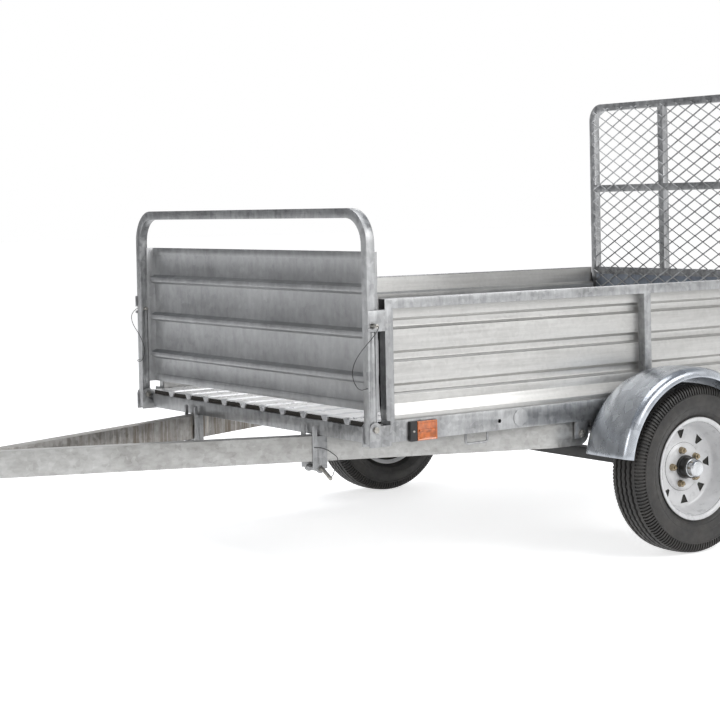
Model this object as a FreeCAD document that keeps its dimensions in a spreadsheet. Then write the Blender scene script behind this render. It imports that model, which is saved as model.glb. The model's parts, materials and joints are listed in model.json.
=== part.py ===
"""Galvanized tilt-bed utility trailer, built as a parametric FreeCAD document.

Frame: +X forward to the coupler, +Y left, +Z up, millimetres.  The origin lies on the
ground under the middle of the whole trailer.  Every driving size is a cell of the
spreadsheet "Sizes"; the pieces read it through expressions.
"""
import FreeCAD, Part
import math
import os
import re
import Sketcher
from FreeCAD import Placement, Rotation, Vector

# ------------------------------------------------------------------ driving sizes
# alias, value (mm, degrees or a count), meaning
SIZES = [
    ("bed_width", 1446, "over the posts and side rails"),
    ("bed_length", 2143, "front face of the front cross-member to the rear posts' rear face"),
    ("frame_bottom", 444, "underside of rails and cross-members above the ground"),
    ("rail_height", 65, "side rail tube, upright side"),
    ("rail_width", 40, "side rail tube, flat side"),
    ("rail_wall", 3, "wall of the side rail tube"),
    ("cross_height", 47, "cross-members and joists"),
    ("cross_depth", 40, "cross-member flange, along the trailer"),
    ("cross_wall", 3, "wall of the cross-member channel"),
    ("sill_back", 12, "front cross-member and deck behind the bed's front face"),
    ("joist_pitch", 430, "between deck joists"),
    ("deck_crests", 11, "crests across the deck"),
    ("deck_rib", 17.5, "height of the deck corrugation over the cross-members"),
    ("deck_sheet", 1.6, "deck sheet"),
    ("valley_top", 35, "width of a deck valley at the crests"),
    ("valley_floor", 16, "width of a deck valley at its floor"),
    ("deck_spread", 13, "valley pitch times the crests, beyond the deck's width"),
    ("deck_shift", 14.5, "middle of the valleys left of the trailer's middle"),
    ("deck_gap", 2, "from the deck's sides to the rails"),
    ("wall_height", 433, "top of the side walls above the rails' underside"),
    ("post_size", 30, "square tube of posts and top rails"),
    ("post_wall", 2, "wall of that tube"),
    ("post_setback", 60, "front posts' front face behind the bed's front face"),
    ("middle_post", 1137, "middle post behind the bed's front face"),
    ("panel_sheet", 1.5, "side, gate and kick panels"),
    ("wall_rib_drop", 60.5, "wall top to the upper edge of the first groove"),
    ("wall_rib_pitch", 99.5, "between grooves of the side panel"),
    ("wall_rib_height", 36, "height of a groove"),
    ("wall_rib_depth", 12, "depth of a groove"),
    ("wall_rib_slope", 9, "height taken by a groove's slanted flank"),
    ("skirt_height", 14.5, "upright lip of the side panel's skirt above the rail"),
    ("skirt_rise", 47, "upper bend of that skirt above the rail"),
    ("skirt_depth", 19, "how far that flange stands out"),
    ("plug_lip", 2, "lip of a rail end plug"),
    ("gate_overhang", 18, "gate hoop beyond each side of the bed"),
    ("gate_height", 708, "top of the front gate above the rails' underside"),
    ("upright_rise", 2, "lower ends of gate and ramp uprights above the rails' underside"),
    ("gate_tube", 30, "square tube of the gate hoop"),
    ("gate_wall", 2.5, "wall of that tube"),
    ("gate_radius", 110, "outer corner radius of the gate hoop"),
    ("gate_forward", 0, "middle of the hoop before the bed's front face"),
    ("gate_panel_rise", 93, "lower edge of the gate panel above the rails' underside"),
    ("gate_panel_height", 483, "gate panel, upright"),
    ("gate_pan_depth", 27, "gate panel behind the hoop's rear face"),
    ("gate_flange", 25, "height of the gate panel's top and bottom flanges"),
    ("gate_rib_drop", 98, "gate panel top to the first rib's upper edge"),
    ("gate_rib_pitch", 135, "between ribs of the gate panel"),
    ("gate_rib_height", 33, "height of a rib"),
    ("gate_rib_depth", 20, "how far a rib stands forward"),
    ("gate_rib_slope", 9, "height taken by a rib's slanted flank"),
    ("gate_pivot_rise", 46, "gate hinge above the rails' underside"),
    ("gate_pivot_back", 3, "gate hinge behind the bed's front face"),
    ("ear_radius", 22, "rounded end of a hinge bracket"),
    ("ear_sheet", 5, "hinge and keeper brackets"),
    ("web_sheet", 4, "web of a bracket against its post"),
    ("ear_gap", 2, "between a bracket's ear and the upright it carries"),
    ("bolt_radius", 6, "hinge bolts and latch pins"),
    ("bolt_clearance", 0.06, "radial clearance of a bolt in a moving piece"),
    ("bracket_height", 66, "height of the hinge bracket's web"),
    ("latch_under", 47, "latch pins under the top rail"),
    ("keeper_height", 63, "height of a latch keeper"),
    ("ear_start", 16, "outer ears begin before the post they are bolted to"),
    ("ear_foot", 52, "hinge bracket's ears below the hinge"),
    ("keeper_under", 17, "lower edge of a keeper under its pin"),
    ("notch_clearance", 1, "latch pin to the keeper's notch"),
    ("ramp_inset", 7, "ramp frame inside each side of the bed"),
    ("ramp_height", 1134, "top of the ramp above the rails' underside"),
    ("ramp_tube", 30, "square tube of the ramp"),
    ("ramp_wall", 2, "wall of that tube"),
    ("ramp_radius", 70, "outer corner radius of the ramp"),
    ("ramp_pivot_rise", 26, "ramp hinge above the rails' underside"),
    ("ramp_pivot_back", 38, "ramp hinge behind the rear posts"),
    ("ramp_sill_rise", 56, "underside of the ramp's bottom bar above the rails' underside"),
    ("ramp_bar_rise", 771, "middle of the ramp's cross bar above the rails' underside"),
    ("ramp_bar_spread", 554, "between the ramp's upright bars"),
    ("mesh_long", 88, "mesh diamond across"),
    ("mesh_short", 49, "mesh diamond upright"),
    ("strand_width", 4.5, "mesh strand"),
    ("strand_depth", 2.5, "thickness of one layer of strands"),
    ("mesh_lap", 14, "mesh edge on the ramp's tubes"),
    ("wheel_back", 1148, "axle behind the bed's front face"),
    ("wheel_stand", 156, "middle of a wheel beyond the bed's side"),
    ("tyre_radius", 278, "tyre"),
    ("tyre_width", 145, "tyre"),
    ("tyre_wall", 11, "tyre carcass"),
    ("rim_radius", 169, "outer edge of the rim flange"),
    ("seat_radius", 152, "bead seat of the rim"),
    ("rim_width", 104, "between the rim flanges"),
    ("rim_sheet", 3, "rim and disc"),
    ("disc_radius", 132, "flat part of the wheel disc"),
    ("bore_radius", 39, "centre hole of the wheel disc"),
    ("stud_circle", 114.3, "circle of the wheel studs"),
    ("stud_radius", 6, "wheel studs"),
    ("stud_clearance", 0.6, "wheel disc holes round the studs"),
    ("nut_across", 19, "wheel nuts across the flats"),
    ("nut_height", 15, "wheel nuts"),
    ("window_circle", 104.5, "middle of the disc's windows from the axle"),
    ("hub_radius", 34.5, "hub barrel"),
    ("flange_radius", 71, "hub flange"),
    ("cap_radius", 28.5, "hub cap"),
    ("hub_out", 42, "hub barrel beyond the wheel disc"),
    ("cap_out", 22, "hub cap beyond the barrel"),
    ("spindle_radius", 14, "axle spindle"),
    ("axle_size", 40, "square axle tube"),
    ("axle_wall", 4, "wall of the axle tube"),
    ("spring_inset", 40, "middle of a leaf spring inside the bed's side"),
    ("spring_half", 230, "axle to a spring eye"),
    ("spring_width", 45, "leaf width"),
    ("leaf_sheet", 6, "one leaf"),
    ("eye_radius", 14, "outside of a spring eye"),
    ("eye_drop", 40, "spring eyes under the rails' underside"),
    ("hanger_sheet", 4, "hanger plates"),
    ("hanger_length", 60, "hanger along the trailer"),
    ("fender_room", 42, "from the tyre to the crown of the fender"),
    ("fender_width", 247, "fender beyond the bed's side"),
    ("fender_flange", 24, "depth of the flange against the bed"),
    ("fender_forward", 29, "middle of the fender's circle before the axle"),
    ("fender_raise", 16, "middle of the fender's circle above the axle"),
    ("fender_sheet", 2, "fender"),
    ("fender_lift", 9, "lower edges above the axle, in degrees round it"),
    ("tongue_reach", 1350, "coupler nose before the bed's front face"),
    ("beam_height", 79, "drawbar tube, upright side"),
    ("beam_width", 50, "drawbar tube, flat side"),
    ("beam_wall", 4, "wall of the drawbar tube"),
    ("beam_inset", 315, "drawbar's outer face inside the bed's side, at the bed's front face"),
    ("beam_meet", 1007.4074, "where the drawbars' outer faces would meet before the bed's front face"),
    ("beam_front", 950, "drawbar's front ends before the bed's front face"),
    ("seat_gap", 0.3, "drawbar under the frame, and other seats of moving pieces"),
    ("beam_drop", 3, "drawbar under the frame"),
    ("beam_tuck", 18, "drawbar's parallel rear run inside the bed's side"),
    ("beam_bend", 200, "outer radius of the bend between its two runs"),
    ("tilt_back", 841, "tilt pivot behind the bed's front face"),
    ("tilt_radius", 39, "rounded rear end of the drawbar round its pivot"),
    ("lug_half", 27.5, "tilt lug each way from the bolt, along the trailer"),
    ("lug_end", 15, "tilt lug below the bolt"),
    ("tilt_bolt", 8, "radius of the tilt bolt"),
    ("lug_sheet", 8, "tilt lugs"),
    ("lug_gap", 3, "from a lug to the swinging drawbar"),
    ("ball_radius", 25.7, "coupler socket"),
    ("nose_radius", 38, "coupler nose"),
    ("coupler_sheet", 5, "coupler plate and skirts"),
    ("coupler_skirt", 55, "coupler skirts beside the drawbars"),
    ("coupler_back", 915, "rear edge of the coupler plate before the bed's front face"),
    ("mouth_drop", 60, "mouth of the coupler socket under the rails' underside"),
    ("jack_room", 55, "middle of the jack before the drawbars' front ends"),
    ("jack_radius", 28.5, "jack's outer tube"),
    ("jack_flange", 46, "jack's flange each way along the coupler"),
    ("jack_bore", 24.5, "jack's inner leg"),
    ("jack_clearance", 0.08, "radial clearance of the leg in its tube"),
    ("jack_drop", 144, "lower end of the outer tube under the rails' underside"),
    ("jack_rise", 356, "top of the outer tube above the rails' underside"),
    ("leg_rise", 96, "top of the inner leg above the rails' underside"),
    ("foot_length", 150, "jack foot plate"),
    ("foot_sheet", 6, "jack foot plate"),
    ("latch_plate", 46, "tilt latch plate along the drawbar"),
    ("latch_drop", 119, "lower end of the tilt latch under the rails' underside"),
    ("latch_round", 14, "rounded lower end of the tilt latch plates"),
    ("latch_tab", 15, "tab at the front of a tilt latch plate"),
    ("latch_tab_rise", 34, "top of that tab above the drawbar"),
    ("latch_sleeve", 9.5, "radius of the tilt latch's sleeve"),
    ("latch_forward", -14.3, "tilt latch pin before the bed's front face"),
    ("latch_pin", 6, "radius of the tilt latch pin"),
    ("lamp_back", 137, "marker lamp behind the bed's front face"),
    ("lamp_base", 26, "black end of the marker lamp"),
    ("lamp_fall", 4.5, "marker lamp below the middle of the rail"),
    ("lamp_lens", 76, "lens of the marker lamp"),
    ("lamp_height", 61, "marker lamp"),
    ("lamp_depth", 18, "marker lamp"),
    ("tail_width", 150, "tail lamp"),
    ("tail_height", 62, "tail lamp"),
    ("tail_depth", 30, "tail lamp"),
    ("tail_inset", 178, "middle of a tail lamp inside the bed's side"),
    ("loop_length", 94, "tie-down loop"),
    ("loop_drop", 38, "tie-down loop below the rail"),
    ("loop_rod", 4, "radius of its rod"),
    ("loop_back", 415, "middle of the front loop behind the bed's front face"),
    ("blank_back", 577, "round blanking disc behind the bed's front face"),
    ("blank_radius", 28, "round blanking disc"),
    ("blank_sheet", 3, "round blanking disc"),
    ("rail_hole", 6.5, "radius of the accessory holes in the side rail"),
    ("rail_hole_back", 493, "first accessory hole behind the bed's front face"),
    ("rail_hole_pitch", 104.5, "between the accessory holes"),
    ("rail_hole_rise", 29, "accessory holes above the rails' underside"),
    ("lanyard_radius", 1.2, "lanyard"),
]

DOC = FreeCAD.newDocument("utility_trailer")
SHEET = DOC.addObject("Spreadsheet::Sheet", "Sizes")
for row, (alias, value, meaning) in enumerate(SIZES, start=1):
    SHEET.set(f"A{row}", str(value))
    SHEET.setAlias(f"A{row}", alias)
    SHEET.set(f"B{row}", meaning)
DOC.recompute()
ALIASES = {alias for alias, value, meaning in SIZES}
SIDES = (("left", 1), ("right", -1))

# Sizes that follow from the cells; an expression names them as it names a cell.
FOLLOWS = {
    "gate_width": "(bed_width + 2 * gate_overhang)",
    "ramp_width": "(bed_width - 2 * ramp_inset)",
    "wheel_track": "(bed_width + 2 * wheel_stand)",
    "fender_out": "(bed_width / 2 + fender_width)",
    "spring_spread": "(bed_width - 2 * spring_inset)",
    "fender_radius": "(tyre_radius + fender_room)",
    "beam_outer": "(bed_width / 2 - beam_inset)",
    "beam_slope": "((bed_width / 2 - beam_inset) / beam_meet)",
    "tail_spread": "(bed_width - 2 * tail_inset)",
    "wall_top": "(frame_bottom + wall_height)",
    "gate_top": "(frame_bottom + gate_height)",
    "gate_foot": "(frame_bottom + upright_rise)",
    "gate_panel_foot": "(frame_bottom + gate_panel_rise)",
    "gate_panel_top": "(frame_bottom + gate_panel_rise + gate_panel_height)",
    "gate_pivot_height": "(frame_bottom + gate_pivot_rise)",
    "latch_height": "(frame_bottom + wall_height - post_size - latch_under)",
    "ramp_top": "(frame_bottom + ramp_height)",
    "ramp_foot": "(frame_bottom + upright_rise)",
    "ramp_pivot_height": "(frame_bottom + ramp_pivot_rise)",
    "ramp_sill": "(frame_bottom + ramp_sill_rise)",
    "ramp_bar_height": "(frame_bottom + ramp_bar_rise)",
    "eye_height": "(frame_bottom - eye_drop)",
    "socket_mouth": "(frame_bottom - mouth_drop)",
    "jack_foot": "(frame_bottom - jack_drop)",
    "jack_top": "(frame_bottom + jack_rise)",
    "leg_top": "(frame_bottom + leg_rise)",
    "latch_foot": "(frame_bottom - latch_drop)",
    "rail_hole_height": "(frame_bottom + rail_hole_rise)",
}

# ------------------------------------------------------------------ derived places
# Expressions over the sheet's aliases; FRONT is the bed's front face.
REAR_REACH = "(bed_length + ramp_pivot_back + ear_radius)"
FRONT = f"(({REAR_REACH} - tongue_reach) / 2)"
REAR = f"({FRONT} - bed_length)"
WHEEL = f"({FRONT} - wheel_back)"
BED_HALF = "(bed_width / 2)"
PANEL_FACE = "(bed_width / 2 - post_size)"
RAIL_INNER = "(bed_width / 2 - rail_width)"
RAIL_TOP = "(frame_bottom + rail_height)"
RAIL_FRONT = f"({FRONT} - post_setback - post_size)"
RAIL_BACK = f"({REAR} + post_size)"
CROSS_TOP = "(frame_bottom + cross_height)"
TOP_RAIL = "(wall_top - post_size)"
BEAM_TOP = "(frame_bottom - beam_drop)"
BEAM_LEAN = "sqrt(1 + beam_slope * beam_slope)"
BEAM_MIDDLE = f"({BEAM_TOP} - beam_height / 2)"
GATE_BACK = f"({FRONT} + gate_forward - gate_tube / 2)"
GATE_PIVOT = f"({FRONT} - gate_pivot_back)"
RAMP_PIVOT = f"({REAR} - ramp_pivot_back)"
RAMP_FRONT = f"({RAMP_PIVOT} + ramp_tube / 2)"
TILT_PIVOT = f"({FRONT} - tilt_back)"
TILT_HEIGHT = f"({BEAM_TOP} - tilt_radius - 0.5)"
DISC_FACE = "(wheel_track / 2 - 4)"
JACK = f"({FRONT} + beam_front + jack_room)"
SILL = f"({FRONT} - sill_back)"
MIDDLE_POST = f"({FRONT} - middle_post)"
BEAM_TAIL = "(bed_width / 2 - beam_tuck)"


def bind(text):
    """Write an expression out in full: sizes that follow, then the sheet's name before each alias."""
    text = re.sub(r"[a-z_]{3,}", lambda word: FOLLOWS.get(word[0], word[0]), str(text))
    return re.sub(r"[a-z_]{3,}", lambda word: "Sizes." + word[0] if word[0] in ALIASES else word[0], text)


def size(text):
    """The present value of an expression over the sheet's aliases."""
    return float(SHEET.evalExpression(bind(text)))


def drive(item, prop, text):
    """Tie a property to an expression over the sheet's aliases."""
    item.setExpression(prop, bind(text))


def place(item, x=0, y=0, z=0):
    """Tie an object's position to three expressions."""
    for axis, text in zip("xyz", (x, y, z)):
        drive(item, f"Placement.Base.{axis}", text)


# ------------------------------------------------------------------ primitives and booleans
def box(name, low, lengths):
    """A Part box from its low corner and three lengths."""
    item = DOC.addObject("Part::Box", name)
    for prop, text in zip(("Length", "Width", "Height"), lengths):
        drive(item, prop, text)
    place(item, *low)
    return item


TURNS = {"x": Rotation(Vector(0, 1, 0), 90), "y": Rotation(Vector(1, 0, 0), -90), "z": Rotation()}


def rod(name, start, radius, length, axis="z"):
    """A Part cylinder from the middle of its low end, along +X, +Y or +Z."""
    item = DOC.addObject("Part::Cylinder", name)
    item.Placement = Placement(Vector(), TURNS[axis])
    drive(item, "Radius", radius)
    drive(item, "Height", length)
    place(item, *start)
    return item


def fuse(name, pieces):
    """One solid of pieces that touch."""
    item = DOC.addObject("Part::MultiFuse", name)
    item.Shapes = pieces
    item.Refine = True
    return item


def cut(name, base, tools):
    """A piece less one or more tools."""
    tool = tools[0] if len(tools) == 1 else fuse(name + "_tools", tools)
    item = DOC.addObject("Part::Cut", name)
    item.Base = base
    item.Tool = tool
    return item


def group(name, pieces):
    """Several separate solids of one node."""
    item = DOC.addObject("Part::Compound", name)
    item.Links = pieces
    return item


def mirror(name, source):
    """The right-hand copy of a left-hand piece."""
    item = DOC.addObject("Part::Mirroring", name)
    item.Source = source
    item.Normal = Vector(0, 1, 0)
    return item


def pair(name, source):
    """A left-hand piece and its mirror image as one node."""
    return group(name, [source, mirror(name + "_right", source)])


def tube(name, low, lengths, wall, axis):
    """A square tube, open at both ends along one axis."""
    inner_low = [text if side == axis else f"{text} + {wall}" for side, text in zip("xyz", low)]
    inner = [text if side == axis else f"{text} - 2 * {wall}" for side, text in zip("xyz", lengths)]
    return cut(name, box(name + "_outer", low, lengths), [box(name + "_bore", inner_low, inner)])


# ------------------------------------------------------------------ sketched pieces
# plane role, sign of the sketch's normal on its axis
PLANES = {"x": ("YZ_Plane", 1), "y": ("XZ_Plane", -1), "z": ("XY_Plane", 1)}


def outline(body, name, axis, offset, points):
    """A closed outline square to an axis, each corner tied to two expressions."""
    role, sign = PLANES[axis]
    sketch = body.newObject("Sketcher::SketchObject", name)
    plane = [item for item in body.Origin.OriginFeatures if item.Role == role][0]
    sketch.AttachmentSupport = [(plane, "")]
    sketch.MapMode = "FlatFace"
    drive(sketch, "AttachmentOffset.Base.z", f"{sign} * ({offset})")
    corners = [Vector(size(across), size(up), 0) for across, up in points]
    count = len(corners)
    sketch.addGeometry([Part.LineSegment(corners[n], corners[(n + 1) % count]) for n in range(count)])
    for n in range(count):
        sketch.addConstraint(Sketcher.Constraint("Coincident", n, 2, (n + 1) % count, 1))
        for kind, text, value in (("DistanceX", points[n][0], corners[n].x),
                                  ("DistanceY", points[n][1], corners[n].y)):
            index = sketch.addConstraint(Sketcher.Constraint(kind, -1, 1, n, 1, value))
            sketch.setExpression(f"Constraints[{index}]", bind(text))
    return sketch


def slab(name, axis, middle, length, points):
    """A PartDesign body: an outline padded to both sides of its middle plane."""
    body = DOC.addObject("PartDesign::Body", name)
    sketch = outline(body, name + "_outline", axis, middle, points)
    pad = body.newObject("PartDesign::Pad", name + "_pad")
    pad.Profile = sketch
    pad.SideType = "Symmetric"
    drive(pad, "Length", length)
    body.Tip = pad
    DOC.recompute()
    return body


def round_corners(body, axis, corners, radius):
    """Fillet the edges along an axis that pass through the given corners."""
    tip = body.Tip
    index = "xyz".index(axis)
    names = []
    for number, edge in enumerate(tip.Shape.Edges, start=1):
        ends = [tuple(vertex.Point) for vertex in edge.Vertexes]
        if len(ends) < 2 or abs(abs(ends[0][index] - ends[1][index]) - edge.Length) > 1e-6:
            continue
        flat = [value for side, value in enumerate(ends[0]) if side != index]
        if any(math.dist(flat, (size(across), size(up))) < 0.01 for across, up in corners):
            names.append(f"Edge{number}")
    fillet = body.newObject("PartDesign::Fillet", f"{body.Name}_fillet{len(body.Group)}")
    fillet.Base = (tip, names)
    drive(fillet, "Radius", radius)
    body.Tip = fillet
    DOC.recompute()
    return fillet


def portal(name, axis_middle, depth, half, foot, top, thickness, radius, inset="0"):
    """An upright hoop open at its feet, in a plane square to X; inset makes its bore."""
    out = f"({half} - {inset})"
    inn = f"({half} - {thickness} + {inset})"
    high = f"({top} - {inset})"
    low = f"({top} - {thickness} + {inset})"
    points = [(out, foot), (out, high), (f"-{out}", high), (f"-{out}", foot),
              (f"-{inn}", foot), (f"-{inn}", low), (inn, low), (inn, foot)]
    body = slab(name, "x", axis_middle, f"{depth} - 2 * {inset}", points)
    round_corners(body, "x", [(out, high), (f"-{out}", high)], f"{radius} - {inset}")
    round_corners(body, "x", [(inn, low), (f"-{inn}", low)], f"{radius} - {thickness} + {inset}")
    return body


def hoop(name, axis_middle, half, foot, top, thickness, wall, radius):
    """A hoop of square tube with open feet."""
    outer = portal(name + "_outer", axis_middle, thickness, half, foot, top, thickness, radius)
    bore = portal(name + "_bore", axis_middle, thickness, half, f"{foot} - 1", top, thickness, radius, wall)
    return cut(name, outer, [bore])


# ------------------------------------------------------------------ shapes set with Part
def shape(name, solid):
    """A Part::Feature that holds a finished shape."""
    item = DOC.addObject("Part::Feature", name)
    item.Shape = solid
    return item


def rounded_path(points, radius):
    """Straight runs through the points, joined by tangent arcs (all of one radius, or one each)."""
    points = [Vector(*point) for point in points]
    radii = radius if isinstance(radius, list) else [radius] * (len(points) - 2)
    edges = []
    start = points[0]
    for n in range(1, len(points) - 1):
        back = (points[n - 1] - points[n]).normalize()
        ahead = (points[n + 1] - points[n]).normalize()
        half_turn = (math.pi - back.getAngle(ahead)) / 2
        reach = radii[n - 1] * math.tan(half_turn)
        first = points[n] + back * reach
        last = points[n] + ahead * reach
        bisector = (back + ahead).normalize()
        middle = points[n] + bisector * (radii[n - 1] / math.cos(half_turn) - radii[n - 1])
        if (first - start).Length > 1e-6:
            edges.append(Part.LineSegment(start, first).toShape())
        edges.append(Part.Arc(first, middle, last).toShape())
        start = last
    edges.append(Part.LineSegment(start, points[-1]).toShape())
    return Part.Wire(edges)


def bent_rod(points, thickness, radius):
    """A round rod swept along a rounded path."""
    path = rounded_path(points, radius)
    start = Vector(*points[0])
    along = Vector(*points[1]) - start
    section = Part.Wire([Part.makeCircle(thickness, start, along)])
    return path.makePipeShell([section], True, False)


def revolved(profile, angle=360, start=0):
    """A closed profile of (along, radius) points about the Y axis; a point (a, r, "arc") bends the run."""
    edges = []
    last = None
    bend = None
    first = profile[0]
    for point in profile[1:] + [first]:
        if len(point) == 3:
            bend = Vector(point[1], point[0], 0)
            continue
        here = Vector(point[1], point[0], 0)
        before = last if last else Vector(first[1], first[0], 0)
        edges.append(Part.Arc(before, bend, here).toShape() if bend else Part.LineSegment(before, here).toShape())
        last = here
        bend = None
    face = Part.Face(Part.Wire(edges))
    face.rotate(Vector(), Vector(0, 1, 0), -start)
    return face.revolve(Vector(), Vector(0, 1, 0), -angle)


# ------------------------------------------------------------------ bed frame
def channel(name, front, opens, half):
    """A cross-member: a channel across the bed whose web is at x = front; opens is -1 to the rear."""
    back = f"({front} + ({opens}) * cross_depth)"
    lip = f"({front} + ({opens}) * cross_wall)"
    low, high = "frame_bottom", CROSS_TOP
    points = [(front, low), (back, low), (back, f"{low} + cross_wall"), (lip, f"{low} + cross_wall"),
              (lip, f"{high} - cross_wall"), (back, f"{high} - cross_wall"), (back, high), (front, high)]
    return slab(name, "y", "0", f"2 * {half}", points)


def side_rail():
    """The left side rail: a tube with two accessory holes through its outer wall."""
    low = (RAIL_BACK, RAIL_INNER, "frame_bottom")
    lengths = (f"{RAIL_FRONT} - {RAIL_BACK}", "rail_width", "rail_height")
    bare = tube("rail_tube", low, lengths, "rail_wall", "x")
    holes = [rod(f"rail_hole_{n}", (f"{FRONT} - rail_hole_back - {n} * rail_hole_pitch",
                                    f"{BED_HALF} - rail_wall - 1", "rail_hole_height"),
                 "rail_hole", "rail_wall + 2", "y") for n in range(2)]
    blank = rod("rail_blank", (f"{FRONT} - blank_back", BED_HALF, "frame_bottom + rail_height / 2"),
                "blank_radius", "blank_sheet", "y")
    return fuse("side_rail_left", [cut("rail_drilled", bare, holes), blank])


def front_crossmember():
    """The front channel with a leg at each end that runs back inside the rail."""
    half = f"({RAIL_INNER} - ear_sheet)"
    web = channel("front_channel", SILL, -1, half)
    legs = [box(f"front_leg_{side}", (f"{SILL} - 150", f"{sign} * {RAIL_INNER} - {(sign + 1) // 2} * ear_sheet",
                                      "frame_bottom"), ("150", "ear_sheet", "cross_height"))
            for side, sign in SIDES]
    return fuse("front_crossmember", [web] + legs)


def deck():
    """The corrugated deck sheet: wide crests and narrow valleys along the trailer."""
    half = f"({RAIL_INNER} - deck_gap)"
    pitch = f"((2 * {half} + deck_spread) / deck_crests)"
    crest = f"({CROSS_TOP} + deck_rib)"
    under = f"({crest} - deck_sheet)"
    floor = f"({CROSS_TOP} + deck_sheet)"
    upper, lower = [(f"-{half}", crest)], [(f"-{half}", under)]
    for n in range(1, int(size("deck_crests"))):
        middle = f"(({n} - deck_crests / 2) * {pitch} + deck_shift)"
        upper += [(f"{middle} - valley_top / 2", crest), (f"{middle} - valley_floor / 2", floor),
                  (f"{middle} + valley_floor / 2", floor), (f"{middle} + valley_top / 2", crest)]
        lower += [(f"{middle} - valley_top / 2 - deck_sheet / 2", under),
                  (f"{middle} - valley_floor / 2 - deck_sheet / 2", CROSS_TOP),
                  (f"{middle} + valley_floor / 2 + deck_sheet / 2", CROSS_TOP),
                  (f"{middle} + valley_top / 2 + deck_sheet / 2", under)]
    upper.append((half, crest))
    lower.append((half, under))
    return slab("deck", "x", f"(({SILL}) + ({REAR})) / 2", "bed_length - sill_back", upper + lower[::-1])


def ribbed_sheet(face, sheet, ribs, depth, slope):
    """Outline of a sheet that stands on face, with ribs pressed to face + depth.

    ribs is a list of (upper edge, lower edge) from the top; the first and last entry of the
    returned outline are the sheet's top and bottom, which the caller passes as ribs[0] and ribs[-1].
    """
    top, bottom = ribs[0][0], ribs[-1][1]
    front, back = [(face, top)], [(f"{face} - {sheet}", top)]
    for high, low in ribs[1:-1]:
        front += [(face, high), (f"{face} + {depth}", f"{high} - {slope}"),
                  (f"{face} + {depth}", f"{low} + {slope}"), (face, low)]
        back += [(f"{face} - {sheet}", f"{high} - 0.5 * {sheet}"),
                 (f"{face} + {depth} - {sheet}", f"{high} - {slope} - 0.5 * {sheet}"),
                 (f"{face} + {depth} - {sheet}", f"{low} + {slope} + 0.5 * {sheet}"),
                 (f"{face} - {sheet}", f"{low} + 0.5 * {sheet}")]
    front.append((face, bottom))
    back.append((f"{face} - {sheet}", bottom))
    return front + back[::-1]


def side_frame():
    """The left wall's frame: top rail and three posts of square tube."""
    long_rail = tube("top_rail", (REAR, PANEL_FACE, TOP_RAIL),
                     (f"bed_length - post_setback", "post_size", "post_size"), "post_wall", "x")
    # post: low end, place of its rear face
    posts = [("front", "frame_bottom", f"{FRONT} - post_setback - post_size"),
             ("middle", RAIL_TOP, f"{MIDDLE_POST} - post_size / 2"),
             ("rear", "frame_bottom", REAR)]
    uprights = [tube(f"post_{name}", (rear, PANEL_FACE, low),
                     ("post_size", "post_size", f"{TOP_RAIL} - {low}"), "post_wall", "z")
                for name, low, rear in posts]
    return fuse("side_frame_left", [long_rail] + uprights)


def side_panel():
    """The left wall's sheet with three pressed grooves, and its skirts between the posts."""
    bands = [(f"wall_top - 4", "0")]
    for n in range(3):
        high = f"(wall_top - wall_rib_drop - {n} * wall_rib_pitch)"
        bands.append((high, f"({high} - wall_rib_height)"))
    bands.append(("0", RAIL_TOP))
    sheet = slab("wall_sheet", "x", f"({FRONT} - post_setback - 1 + ({REAR}) + 1) / 2",
                 "bed_length - post_setback - 2",
                 ribbed_sheet(PANEL_FACE, "panel_sheet", bands, "(0 - wall_rib_depth)", "wall_rib_slope"))
    bays = [("front", f"{FRONT} - post_setback - post_size", f"{MIDDLE_POST} + post_size / 2"),
            ("rear", f"{MIDDLE_POST} - post_size / 2", f"{REAR} + post_size")]
    face = f"({PANEL_FACE} + skirt_depth)"
    skirts = []
    for name, front, back in bays:
        points = [(PANEL_FACE, f"{RAIL_TOP} + skirt_rise"), (face, f"{RAIL_TOP} + skirt_height"),
                  (face, RAIL_TOP), (f"{face} - panel_sheet", RAIL_TOP),
                  (f"{face} - panel_sheet", f"{RAIL_TOP} + skirt_height - panel_sheet / 2"),
                  (PANEL_FACE, f"{RAIL_TOP} + skirt_rise - 2 * panel_sheet")]
        skirts.append(slab(f"skirt_{name}", "x", f"({front} + {back}) / 2", f"{front} - ({back})", points))
    return fuse("side_panel_left", [sheet] + skirts)


def rail_end_plugs():
    """Plastic plugs in the open ends of the left top rail."""
    inside = "(post_size - 2 * post_wall)"
    low = (f"{PANEL_FACE} + post_wall", f"{TOP_RAIL} + post_wall")
    plugs = []
    for name, face, inward in (("front", f"({FRONT} - post_setback)", -1), ("rear", REAR, 1)):
        start = f"{face} - 20" if inward < 0 else face
        lip = face if inward < 0 else f"{face} - plug_lip"
        plugs.append(fuse(f"plug_{name}", [
            box(f"plug_{name}_body", (start, low[0], low[1]), ("20", inside, inside)),
            box(f"plug_{name}_lip", (lip, PANEL_FACE, TOP_RAIL), ("plug_lip", "post_size", "post_size"))]))
    return group("rail_plugs_side", plugs)


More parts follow.
